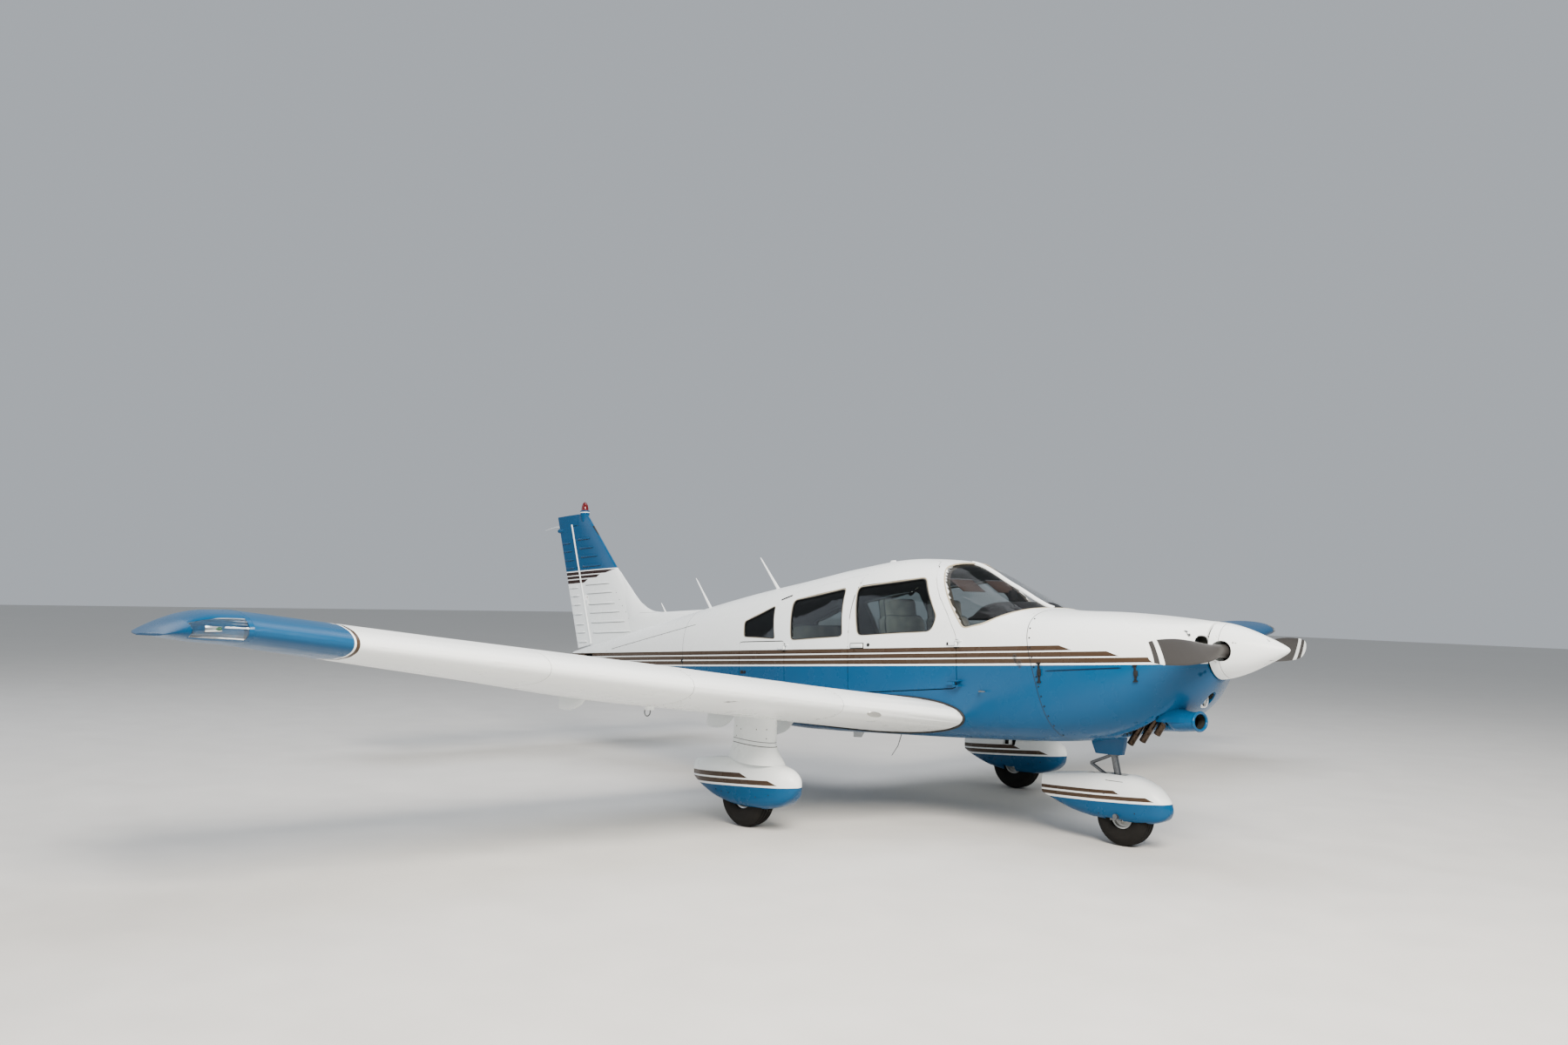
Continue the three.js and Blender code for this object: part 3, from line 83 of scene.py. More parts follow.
def monotone(points):
    """A smooth curve through (x, value) pairs that never swings past them."""
    xs, ys = zip(*points)
    steps = [b - a for a, b in zip(xs, xs[1:])]
    rises = [(b - a) / h for a, b, h in zip(ys, ys[1:], steps)]
    slopes = [rises[0]]
    for p, q in zip(rises, rises[1:]):
        slopes.append(0.0 if p * q <= 0 else 2 * p * q / (p + q))
    slopes.append(rises[-1])

    def value(x):
        i, t = bracket(xs, min(max(x, xs[0]), xs[-1]))
        return (ys[i] * (1 + 2 * t) * (1 - t) ** 2 + slopes[i] * steps[i] * t * (1 - t) ** 2
                + ys[i + 1] * t * t * (3 - 2 * t) + slopes[i + 1] * steps[i] * t * t * (t - 1))
    return value


def straight(points):
    """Straight lines between (x, value) pairs."""
    def value(x):
        x = min(max(x, points[0][0]), points[-1][0])
        for (x0, y0), (x1, y1) in zip(points, points[1:]):
            if x <= x1:
                return y0 + (y1 - y0) * (x - x0) / (x1 - x0)
        return points[-1][1]
    return value


# Sections of the body: station, belly, crown, height of greatest width, half width there, and the
# squareness of the lower and upper halves.
BODY = [
    (3400, 900, 1262, 1085, 190, 2.0, 2.0), (3340, 815, 1268, 1085, 300, 2.2, 2.2),
    (3260, 725, 1279, 1075, 375, 2.3, 2.3), (3140, 645, 1295, 1060, 435, 2.5, 2.5),
    (2950, 570, 1318, 1035, 492, 2.8, 2.7), (2700, 525, 1342, 1010, 532, 3.2, 2.9),
    (2375, 500, 1362, 985, 556, 3.8, 3.1), (2227, 498, 1382, 980, 560, 4.2, 3.1),
    (1890, 497, 1552, 975, 563, 4.6, 2.8), (1555, 497, 1727, 975, 564, 5.0, 2.6),
    (1330, 498, 1764, 975, 564, 5.0, 2.6), (1050, 500, 1781, 975, 562, 5.0, 2.6),
    (540, 502, 1740, 975, 550, 4.8, 2.6), (170, 506, 1692, 980, 527, 4.4, 2.6),
    (-60, 515, 1662, 990, 507, 4.0, 2.6), (-420, 575, 1618, 1005, 468, 3.8, 2.6),
    (-900, 657, 1550, 1040, 410, 3.6, 2.6), (-1290, 724, 1486, 1070, 360, 3.4, 2.6),
    (-2930, 985, 1209, 1105, 112, 2.6, 2.4), (-3350, 1062, 1134, 1098, 45, 2.2, 2.2),
]


class Hull:
    """A closed form on sections along X. It knows its faceted skin and its smooth skin."""

    def __init__(self, rows, points, centre_y=0.0):
        rows = sorted(rows)
        self.points = points
        self.centre_y = centre_y
        self.stations = [row[0] for row in rows]
        names = ("low", "top", "mid", "half", "lower", "upper")
        columns = {n: column(rows, i + 1) for i, n in enumerate(names)}
        self.flat = {n: straight(c) for n, c in columns.items()}
        self.fair = {n: (monotone(c) if n in ("low", "top", "half") else straight(c)) for n, c in columns.items()}
        self.rings = [self.ring(row) for row in rows]

    def ring(self, row):
        _, low, top, mid, half, lower, upper = row
        points = []
        for i in range(self.points):
            angle = (i + 0.5) / self.points * 2 * math.pi
            c, n = math.cos(angle), math.sin(angle)
            power = 2 / (upper if n > 0 else lower)
            rise = (top - mid) if n > 0 else (mid - low)
            points.append((math.copysign(half * abs(c) ** power, c), mid + math.copysign(rise * abs(n) ** power, n)))
        return points

    def half_form(self, x, up):
        """Height of the middle line, and rise and squareness of the smooth skin above or below it."""
        mid = self.flat["mid"](x)
        if up:
            return mid, self.fair["top"](x) - mid, self.flat["upper"](x)
        return mid, mid - self.fair["low"](x), self.flat["lower"](x)

    def radius(self, x, c, n):
        """Distance from the middle line to the smooth skin in the direction (c, n)."""
        _, rise, power = self.half_form(x, n > 0)
        return ((abs(c) / self.fair["half"](x)) ** power + (abs(n) / rise) ** power) ** (-1 / power)

    def facet_radius(self, x, c, n):
        """The same for the faceted skin."""
        x = min(max(x, self.stations[0]), self.stations[-1])
        i, t = bracket(self.stations, x)
        mid = self.flat["mid"](x)
        first, second = self.rings[i], self.rings[i + 1]
        at = [(a[0] + (b[0] - a[0]) * t, a[1] + (b[1] - a[1]) * t - mid) for a, b in zip(first, second)]
        side = [c * p[1] - n * p[0] for p in at]
        for k in range(len(at)):
            j = (k + 1) % len(at)
            if side[k] <= 0 < side[j] or side[k] < 0 <= side[j] or (side[k] == 0 and side[j] >= 0):
                if at[k][0] * c + at[k][1] * n <= 0 and at[j][0] * c + at[j][1] * n <= 0:
                    continue
                (y0, z0), (y1, z1) = at[k], at[j]
                across = c * (z1 - z0) - n * (y1 - y0)
                if abs(across) > 1e-9:
                    return (y0 * (z1 - z0) - z0 * (y1 - y0)) / across
        return self.radius(x, c, n)

    def shift(self, p):
        """A point of the faceted form, carried to the smooth one."""
        mid = self.flat["mid"](p.x)
        y, z = p.y - self.centre_y, p.z - mid
        reach = math.hypot(y, z)
        if reach < 1:
            return p
        c, n = y / reach, z / reach
        scale = self.radius(p.x, c, n) / self.facet_radius(p.x, c, n)
        return Vector((p.x, self.centre_y + y * scale, mid + z * scale))

    def side_y(self, x, z, inset=0.0):
        """Half width of the smooth skin at a height."""
        mid, rise, power = self.half_form(x, z > self.flat["mid"](x))
        rise -= inset
        share = min(abs(z - mid) / rise, 1.0)
        return (self.fair["half"](x) - inset) * (1 - share ** power) ** (1 / power)


BODY_HULL = Hull(BODY, 24)
crown_z, belly_z, middle_z = BODY_HULL.fair["top"], BODY_HULL.fair["low"], BODY_HULL.flat["mid"]

# Sections of a wing panel: span station, leading edge x and z, chord, incidence, forward glove.
WING = [(380, 1585, 639, 1600, 2, 293), (1448, 1585, 770, 1600, 2, 0), (2692, 1585, 923, 1600, 2, 0),
        (5110, 1347, 1245, 1108, -1, 0)]
WING_THICKNESS = 0.15
WING_CAMBER = 0.018
EDGE_THICKNESS = 6
GLOVE_SHARE = 0.35
CHORD_STEPS = [0, 0.015, 0.06, 0.15, 0.3, 0.48, 0.66, 0.83, 1]


def thickness(s):
    return 5 * (0.2969 * math.sqrt(s) - 0.126 * s - 0.3516 * s ** 2 + 0.2843 * s ** 3 - 0.1036 * s ** 4)


def wing_row(y):
    i, t = bracket([row[0] for row in WING], y)
    return tuple(p + (q - p) * t for p, q in zip(WING[i], WING[i + 1]))


def wing_point(row, s, side, slim=1.0):
    y, x, z, chord, incidence, glove = row
    half = side * (WING_THICKNESS * chord * thickness(s) * slim + EDGE_THICKNESS / 2 * s)
    camber = WING_CAMBER * chord * 4 * s * (1 - s) * slim
    return Vector((x + glove * max(0, 1 - s / GLOVE_SHARE) - s * chord, y,
                   z - s * chord * math.tan(math.radians(incidence)) + camber + half))


def wing_share(row, x):
    """Chord share of a station x on a wing section."""
    _, lead, _, chord, _, glove = row
    s = (lead - x) / chord
    if glove and s < GLOVE_SHARE:
        s = (lead + glove - x) / (chord + glove / GLOVE_SHARE)
    return min(max(s, 0.0), 1.0)


def wing_shift(p):
    """A point of the faceted wing, carried to the smooth section."""
    row = wing_row(abs(p.y))
    s = wing_share(row, p.x)
    edges = [(wing_point(row, a, 0).x, wing_point(row, b, 0).x, a, b) for a, b in zip(CHORD_STEPS, CHORD_STEPS[1:])]
    for x0, x1, a, b in edges:
        if p.x >= x1 or b == 1:
            break
    t = min(max((p.x - x0) / (x1 - x0), 0.0), 1.0)
    gaps, heights = [], []
    for side in (1, -1):
        facet = wing_point(row, a, side).z * (1 - t) + wing_point(row, b, side).z * t
        gaps.append(wing_point(row, s, side).z - facet)
        heights.append(facet)
    middle = (heights[0] + heights[1]) / 2
    half = max((heights[0] - heights[1]) / 2, 1.0)
    share = (p.z - middle) / half
    return Vector((p.x, p.y, p.z + (gaps[0] if share > 0 else gaps[1]) * min(abs(share), 1.2)))


STAB_HEIGHT = 1045
TAIL_EDGE = 2.5


def flat_form(rows, axis, up):
    """Shift for a symmetrical tail surface on sections (height or span, lead, trail, thickness)."""
    lead, trail, thick = (straight(column(rows, i)) for i in (1, 2, 3))
    middle = STAB_HEIGHT if axis == 1 else 0

    def half(h, s):
        return thick(h) * thickness(s) + TAIL_EDGE * s

    def shift(p):
        h = abs(p[axis]) if axis == 1 else p[axis]
        front, rear = lead(h), trail(h)
        s = min(max((front - p.x) / (front - rear), 0.0), 1.0)
        i, t = bracket(CHORD_STEPS, s)
        facet = half(h, CHORD_STEPS[i]) * (1 - t) + half(h, CHORD_STEPS[i + 1]) * t
        away = p[up] - middle
        q = p.copy()
        if facet > 0.5:
            q[up] = middle + away * (half(h, s) / facet if abs(away) < facet * 1.15 else 1)
        return q
    return shift


FIN = [(1100, -2000, -3293, 100), (1478, -2296, -3395, 92), (1914, -2677, -3512, 74),
       (2378, -3082, -3636, 56), (2476, -3168, -3662, 50)]
FIN_SHIFT = flat_form(FIN, 2, 1)
STAB = [(0, -2800, -3562, 76), (1870, -2800, -3562, 76)]
STAB_SHIFT = flat_form(STAB, 1, 2)


# Mesh helpers

def refine(bm, limit):
    """Splits long edges until every edge is shorter than limit allows, in row metres."""
    for _ in range(9):
        long = [e for e in bm.edges if e.calc_length() > limit(e)]
        if not long:
            return
        bmesh.ops.subdivide_edges(bm, edges=long, cuts=1, use_grid_fill=False)
        wide = [f for f in bm.faces if len(f.verts) > 3]
        bmesh.ops.triangulate(bm, faces=wide, quad_method="BEAUTY", ngon_method="BEAUTY")


def finish(bm, name, body, material, sharp=38.0, replaced=(), closed=True):
    """A bmesh becomes a piece that rides on a body."""
    if closed:
        bmesh.ops.recalc_face_normals(bm, faces=bm.faces)
    limit = math.radians(sharp)
    for edge in bm.edges:
        edge.smooth = not (edge.is_manifold and edge.calc_face_angle(0.0) > limit)
    for face in bm.faces:
        face.smooth = True
    mesh = bpy.data.meshes.new(name)
    bm.to_mesh(mesh)
    bm.free()
    piece = bpy.data.objects.new(name, mesh)
    bpy.context.scene.collection.objects.link(piece)
    mesh.materials.append(material)
    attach(piece, body)
    if replaced:
        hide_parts(*replaced)
    return piece


BODY_OF = {node: body for body, nodes in frame["record"]["behaviour"]["bodies"].items() for node in nodes}


def fair_copy(node, material, shift, limit, sharp=38.0):
    """A merged, refined and faired copy of a CAD node, which it replaces."""
    bm = bmesh.new()
    bm.from_mesh(frame["nodes"][node].data)
    bmesh.ops.remove_doubles(bm, verts=bm.verts, dist=2e-5)
    if limit:
        refine(bm, limit)
    if shift:
        for vert in bm.verts:
            vert.co = TO_ROW @ shift(TO_LEVEL @ vert.co)
    return finish(bm, node + "_skin", BODY_OF[node], material, sharp, (node,), closed=False)


def every(size):
    return lambda edge: size


def edges_at(verts):
    """The edges that meet some vertices, always in the same order."""
    return list(dict.fromkeys(e for v in verts for e in v.link_edges))


def loft(bm, rings):
    """Bridges rings of points, each a list of Vectors in row metres, and returns the end loops."""
    loops = []
    for ring in rings:
        made = bmesh.ops.create_circle(bm, segments=len(ring), radius=1.0)["verts"]
        for vert, point in zip(made, ring):
            vert.co = point
        loops.append(edges_at(made))
    for a, b in zip(loops, loops[1:]):
        bmesh.ops.bridge_loops(bm, edges=a + b)
    return loops


def cap(bm, loop):
    bmesh.ops.contextual_create(bm, geom=loop)


def solid(bm, rings):
    """A loft with both its ends closed."""
    loops = loft(bm, rings)
    cap(bm, loops[0])
    cap(bm, loops[-1])


def eased(count):
    """Shares from 0 to 1 that lie closer together at both ends."""
    return [0.5 - 0.5 * math.cos(k / count * math.pi) for k in range(count + 1)]


def oval(x, y, z, wide, high, count):
    """An upright oval of points across the airframe."""
    return [level(x, y + wide * math.cos(a), z + high * math.sin(a)) for a in turns(count)]


def turns(count):
    """Angles in even steps round a circle."""
    return [k / count * 2 * math.pi for k in range(count)]


def sweep(bm, path, radii, segments=10, flat=1.0, capped=True, closed=False):
    """A round bar, or a flattened one, along a path in row metres, which may close on itself."""
    count = len(path)
    if not hasattr(radii, "__len__"):
        radii = [radii] * count
    rings = []
    side = None
    for i, point in enumerate(path):
        after = path[(i + 1) % count if closed else min(i + 1, count - 1)]
        before = path[i - 1 if closed else max(i - 1, 0)]
        ahead = (after - before).normalized()
        if side is None:
            side = ahead.orthogonal().normalized()
        side = (side - ahead * side.dot(ahead)).normalized()
        up = ahead.cross(side)
        rings.append([point + (side * math.cos(a) + up * math.sin(a) * flat) * radii[i] for a in turns(segments)])
    loops = loft(bm, rings)
    if closed:
        bmesh.ops.bridge_loops(bm, edges=loops[-1] + loops[0])
    elif capped:
        cap(bm, loops[0])
        cap(bm, loops[-1])


def spin_profile(bm, profile, centre, axis, segments):
    """Turns (along, radius) pairs in millimetres about an axis through a point in row metres."""
    axis = axis.normalized()
    side = axis.orthogonal().normalized()
    verts = [bm.verts.new(centre + axis * along * 0.001 + side * radius * 0.001) for along, radius in profile]
    edges = [bm.edges.new(pair) for pair in zip(verts, verts[1:])]
    bmesh.ops.spin(bm, geom=verts + edges, cent=centre, axis=axis, angle=2 * math.pi, steps=segments,
                   use_merge=True, use_duplicate=False)
    bmesh.ops.remove_doubles(bm, verts=bm.verts, dist=1e-6)


def block(bm, matrix, size, bevel, segments=2):
    """A box with rounded edges; size in millimetres, matrix places its middle in row metres."""
    made = bmesh.ops.create_cube(bm, size=1.0, matrix=matrix @ Matrix.Diagonal(
        Vector([v * 0.001 for v in size] + [1.0])))["verts"]
    bmesh.ops.bevel(bm, geom=edges_at(made), offset=bevel * 0.001, segments=segments, affect="EDGES", profile=0.5,
                    material=-1)


def basis(origin, x_axis, z_axis):
    """Placement whose local Z is z_axis and whose local X is nearest x_axis, in row metres."""
    z = z_axis.normalized()
    x = (x_axis - z * x_axis.dot(z)).normalized()
    y = z.cross(x)
    return Matrix.Translation(origin) @ Matrix((x, y, z)).transposed().to_4x4()


def level(x, y, z):
    return TO_ROW @ Vector((x, y, z))


def upright(x, y, z):
    """Placement that stands with the airframe."""
    return Matrix.Translation(level(x, y, z)) @ TURN.to_4x4()


def moved(place, x, y, z):
    """A placement moved along its own axes, in millimetres."""
    return place @ Matrix.Translation((x / 1000, y / 1000, z / 1000))


FORWARD = TURN @ Vector((1, 0, 0))
UPWARD = TURN @ Vector((0, 0, 1))


def on_body(x, z, side, proud=0.0):
    """Placement on the body's side skin: local Z points out, local X forward."""
    def at(px, pz):
        return Vector((px, side * BODY_HULL.side_y(px, pz), pz))
    here = at(x, z)
    along = at(x + 5, z) - at(x - 5, z)
    up = at(x, z + 5) - at(x, z - 5)
    out = along.cross(up).normalized()
    if out.y * side < 0:
        out.negate()
    return basis(TO_ROW @ (here + out * proud), TURN @ along, TURN @ out)


def on_wing(y, s, side, proud=0.0, hand=-1):
    """Placement on a wing skin: local Z points out, local X forward. side is 1 above, -1 below."""
    def at(span, share):
        p = wing_point(wing_row(span), share, side)
        return Vector((p.x, hand * p.y, p.z))
    here = at(y, s)
    along = at(y, s - 0.01) - at(y, s + 0.01)
    across = at(y + 5, s) - at(y - 5, s)
    out = along.cross(across).normalized()
    if out.z * side < 0:
        out.negate()
    return basis(TO_ROW @ (here + out * proud), TURN @ along, TURN @ out)


def stud(bm, place, radius, height, sides=8):
    """A low domed head on a skin."""
    bmesh.ops.create_cone(bm, cap_ends=True, segments=sides, radius1=radius * 0.001, radius2=radius * 0.0006,
                          depth=height * 0.001, matrix=place @ Matrix.Translation((0, 0, height * 0.0004)))


# Materials

def feed(tree, node, inputs):
    """Each input takes a value, or the socket of another node."""
    for key, value in inputs.items():
        if isinstance(value, bpy.types.NodeSocket):
            tree.links.new(value, node.inputs[key])
        else:
            node.inputs[key].default_value = value


def add(tree, kind, inputs=None, **settings):
    """Adds a shader node with its settings and links."""
    node = tree.nodes.new("ShaderNode" + kind)
    for key, value in settings.items():
        setattr(node, key, value)
    feed(tree, node, inputs or {})
    return node


def blank(name):
    material = bpy.data.materials.new(name)
    material.use_nodes = True
    tree = material.node_tree
    tree.nodes.clear()
    shader = add(tree, "BsdfPrincipled")
    add(tree, "OutputMaterial", {"Surface": shader.outputs["BSDF"]})
    return material, tree, shader


def place_on(tree, tilted):
    """Millimetres in the level airframe, or in the parked frame for what is laid out on the ground."""
    where = add(tree, "TexCoord").outputs["Object"]
    turn = (0, ATTITUDE if tilted else 0, 0)
    return add(tree, "Mapping", {"Vector": where, "Rotation": turn, "Scale": (1000, 1000, 1000)}).outputs["Vector"]


def twin_sides(tree, point):
    """The same millimetres with both sides of the aircraft folded together."""
    parts = add(tree, "SeparateXYZ", {"Vector": point}).outputs
    across = add(tree, "Math", {0: parts["Y"]}, operation="ABSOLUTE").outputs[0]
    return add(tree, "CombineXYZ", {"X": parts["X"], "Y": across, "Z": parts["Z"]}).outputs[0]


def region(tree, point, planes, soft=0.7):
    """1 inside every plane (a, b, c, d), where a x + b y + c z + d is positive."""
    inside = None
    for a, b, c, d in planes:
        size = math.sqrt(a * a + b * b + c * c) * soft
        along = add(tree, "VectorMath", {0: point, 1: (a / size, b / size, c / size)},
                    operation="DOT_PRODUCT").outputs["Value"]
        this = add(tree, "Math", {0: along, 1: d / size + 0.5}, operation="ADD", use_clamp=True).outputs[0]
        if inside is not None:
            this = add(tree, "Math", {0: inside, 1: this}, operation="MINIMUM").outputs[0]
        inside = this
    return inside


def above(x, z, slope=0.0):
    """Plane that keeps what lies above a line through (x, z) in side view."""
    return (-slope, 0, 1, slope * x - z)


def below(x, z, slope=0.0):
    return (slope, 0, -1, z - slope * x)


def ahead(x0, z0, x1, z1):
    """Plane that keeps what lies forward of the line through two side-view points, upper one first."""
    a, c = z0 - z1, x1 - x0
    return (a, 0, c, -(a * x0 + c * z0))


def behind(x0, z0, x1, z1):
    return tuple(-v for v in ahead(x0, z0, x1, z1))


X, Y = 0, 1


def between(axis, low, high=None):
    """Planes that keep what lies from one value to another on an axis."""
    normal = [0, 0, 0]
    normal[axis] = 1
    planes = [(*normal, -low)]
    if high is not None:
        planes.append((*(-n for n in normal), high))
    return planes


def stroke(x0, z0, x1, z1, width):
    """Planes round a line of given width between two side-view points."""
    dx, dz = x1 - x0, z1 - z0
    length = math.hypot(dx, dz)
    dx, dz = dx / length, dz / length
    half = width / 2
    off = -dz * x0 + dx * z0
    return [(-dz, 0, dx, -off + half), (dz, 0, -dx, off + half),
            (dx, 0, dz, -(dx * x0 + dz * z0)), (-dx, 0, -dz, dx * x1 + dz * z1)]


def paint(name, base, layers=(), seam_and_shadow_lines=(), tilted=True, gloss=0.24):
    """Two-part polyurethane enamel, sprayed: colours in masked layers, a dark groove along each panel seam and, on the
    fin, painted shadow lines under the pressed beads, a wide slow ripple and fine peel in its gloss, and a thin film of
    road dust in faint wide patches."""
    material, tree, shader = blank(name)
    place = place_on(tree, tilted)
    folded = twin_sides(tree, place)
    colour = linear(base)
    for code, planes in layers:
        colour = add(tree, "Mix", {0: region(tree, folded, planes), 6: colour, 7: linear(code)},
                     data_type="RGBA").outputs[2]
    cloud = add(tree, "TexNoise", {"Vector": place, "Scale": 0.0035, "Detail": 5.0, "Roughness": 0.6})
    shade = add(tree, "MapRange", {"Value": cloud.outputs[0], "From Min": 0.3, "From Max": 0.7,
                                   "To Min": 0.0, "To Max": 0.02}).outputs[0]
    colour = add(tree, "Mix", {0: shade, 6: colour, 7: linear("#6c675e")}, data_type="RGBA").outputs[2]
    # Dark lines along each panel seam, and on the fin painted shadow lines under the pressed beads.
    groove = None
    for line in seam_and_shadow_lines:
        mark = region(tree, folded, line, soft=1.2)
        groove = mark if groove is None else add(tree, "Math", {0: groove, 1: mark}, operation="MAXIMUM").outputs[0]
    # Orange peel a few millimetres across, drawn only in the gloss.
    peel = add(tree, "TexNoise", {"Vector": place, "Scale": 0.16, "Detail": 2.0}).outputs[0]
    ripple = add(tree, "TexNoise", {"Vector": place, "Scale": 0.006, "Detail": 1.0}).outputs[0]
    height = add(tree, "Math", {0: ripple, 1: 6.0, 2: peel}, operation="MULTIPLY_ADD").outputs[0]
    if groove is not None:
        colour = add(tree, "Mix", {0: groove, 6: colour, 7: linear("#262523")}, data_type="RGBA").outputs[2]
        height = add(tree, "Math", {0: groove, 1: -8.0, 2: height}, operation="MULTIPLY_ADD").outputs[0]
    bump = add(tree, "Bump", {"Strength": 0.05, "Distance": 0.0005, "Height": height})
    rough = add(tree, "MapRange", {"Value": cloud.outputs[0], "From Min": 0.25, "From Max": 0.75,
                                   "To Min": gloss - 0.05, "To Max": gloss + 0.12}).outputs[0]
    feed(tree, shader, {"Base Color": colour, "Roughness": rough, "Normal": bump.outputs[0], "IOR": 1.42,
                        "Specular IOR Level": 0.3})
    return material


def mottled(name, first, second, grain, rough, metal=0.0, bump=0.2, depth=0.4, ior=1.5, share=(0.35, 0.65)):
    """A surface of two near colours in grains of a real size in millimetres, with matching roughness and relief."""
    material, tree, shader = blank(name)
    where = add(tree, "TexCoord").outputs["Object"]
    noise = add(tree, "TexNoise", {"Vector": where, "Scale": 1000 / grain, "Detail": 4.0,
                                   "Roughness": 0.55}).outputs[0]
    wide = add(tree, "TexNoise", {"Vector": where, "Scale": 60 / grain, "Detail": 3.0}).outputs[0]
    both = add(tree, "Math", {0: noise, 1: 0.6, 2: 0.0}, operation="MULTIPLY_ADD").outputs[0]
    both = add(tree, "Math", {0: wide, 1: 0.4, 2: both}, operation="MULTIPLY_ADD").outputs[0]
    mix = add(tree, "MapRange", {"Value": both, "From Min": share[0], "From Max": share[1]}).outputs[0]
    colour = add(tree, "Mix", {0: mix, 6: linear(first), 7: linear(second)}, data_type="RGBA").outputs[2]
    worn = add(tree, "MapRange", {"Value": both, "From Min": share[0], "From Max": share[1],
                                  "To Min": max(rough - 0.1, 0.02), "To Max": min(rough + 0.1, 1.0)})
    relief = add(tree, "Bump", {"Strength": bump, "Distance": depth / 1000, "Height": noise})
    feed(tree, shader, {"Base Color": colour, "Roughness": worn.outputs[0], "Normal": relief.outputs[0],
                        "Metallic": metal, "IOR": ior})
    return material


def clear(name, tint, fade="#ffffff", rough=0.03, weight=1.0, ior=1.49, film=1.0):
    """A transparent moulding, with the faint haze and wiping marks of a cleaned window in its gloss."""
    material, tree, shader = blank(name)
    where = add(tree, "TexCoord").outputs["Object"]
    streaks = add(tree, "Mapping", {"Vector": where, "Scale": (3, 3, 14)}).outputs[0]
    haze = add(tree, "TexNoise", {"Vector": streaks, "Scale": 6.0, "Detail": 6.0}).outputs[0]
    wiped = add(tree, "MapRange", {"Value": haze, "From Min": 0.3, "From Max": 0.8, "To Min": rough,
                                    "To Max": rough + 0.05}).outputs[0]
    stain = add(tree, "Mix", {0: haze, 6: linear(tint), 7: linear(fade)}, data_type="RGBA").outputs[2]
    feed(tree, shader, {"Base Color": stain, "Roughness": wiped, "Transmission Weight": weight, "IOR": ior,
                        "Alpha": film})
    return material


def woven(name, warp, weft, thread):
    """Flat-woven wool blend seat cloth: two thread colours over and under, with a soft sheen at grazing angles."""
    material, tree, shader = blank(name)
    where = add(tree, "TexCoord").outputs["Object"]
    bands = []
    for turn in ((0, 0, 0), (0, math.pi / 2, math.pi / 2)):
        laid = add(tree, "Mapping", {"Vector": where, "Rotation": turn}).outputs[0]
        bands.append(add(tree, "TexWave", {"Vector": laid, "Scale": 314 / thread / 20, "Distortion": 0.4},
                         bands_direction="DIAGONAL").outputs["Fac"])
    weave = add(tree, "Math", {0: bands[0], 1: bands[1]}, operation="MULTIPLY").outputs[0]
    slub = add(tree, "TexNoise", {"Vector": where, "Scale": 24.0, "Detail": 5.0}).outputs[0]
    mix = add(tree, "Math", {0: weave, 1: 0.7, 2: slub}, operation="MULTIPLY_ADD", use_clamp=True).outputs[0]
    colour = add(tree, "Mix", {0: mix, 6: linear(warp), 7: linear(weft)}, data_type="RGBA").outputs[2]
    relief = add(tree, "Bump", {"Strength": 0.5, "Distance": 0.0012, "Height": weave})
    feed(tree, shader, {"Base Color": colour, "Normal": relief.outputs[0], "Roughness": 0.92, "Sheen Weight": 0.35})
    return material


# Paint plan, in millimetres of the level airframe: side-view bands that step back towards the nose.
STRIPE_SLOPE = 0.003
STRIPES = [(1127, 1095, 2598, 2691), (1086, 1055, 2920, 2999), (1046, 1015, 3230, 3310)]
BLUE_LINE = 1002
FIN_STRIPES = [(1908, 1877, -2689, -2826), (1868, 1840, -2908, -2966), (1830, 1797, -3109, -3181)]
FIN_BLUE = 1918


def band(high, low, front_high, front_low, slope=STRIPE_SLOPE, at=1500):
    return [below(at, high, slope), above(at, low, slope), behind(front_high, high, front_low, low)]


def body_layers(colours):
    rows = [(colours.blue, [below(1500, BLUE_LINE, STRIPE_SLOPE)])]
    for high, low, front_high, front_low in STRIPES:
        rows.append((colours.stripe, band(high, low, front_high, front_low)))
        rows.append((colours.pinline, band(low + 5, low, front_low - 18, front_low)))
    return rows


def fin_layers(colours):
    rows = [(colours.pinline, [below(0, high), above(0, low), behind(front_high, high, front_low, low)])
            for high, low, front_high, front_low in FIN_STRIPES]
    return [(colours.blue, [above(0, FIN_BLUE)])] + rows


def gear_layers(colours, axle, slope, blue, rows):
    """Bands of a wheel fairing, in millimetres of the parked frame."""
    made = [(colours.blue, [below(axle, blue, slope)])]
    for high, low, front_high, front_low in rows:
        made.append((colours.stripe, band(high, low, front_high, front_low, slope, axle)))
    return made


MAKE = {}


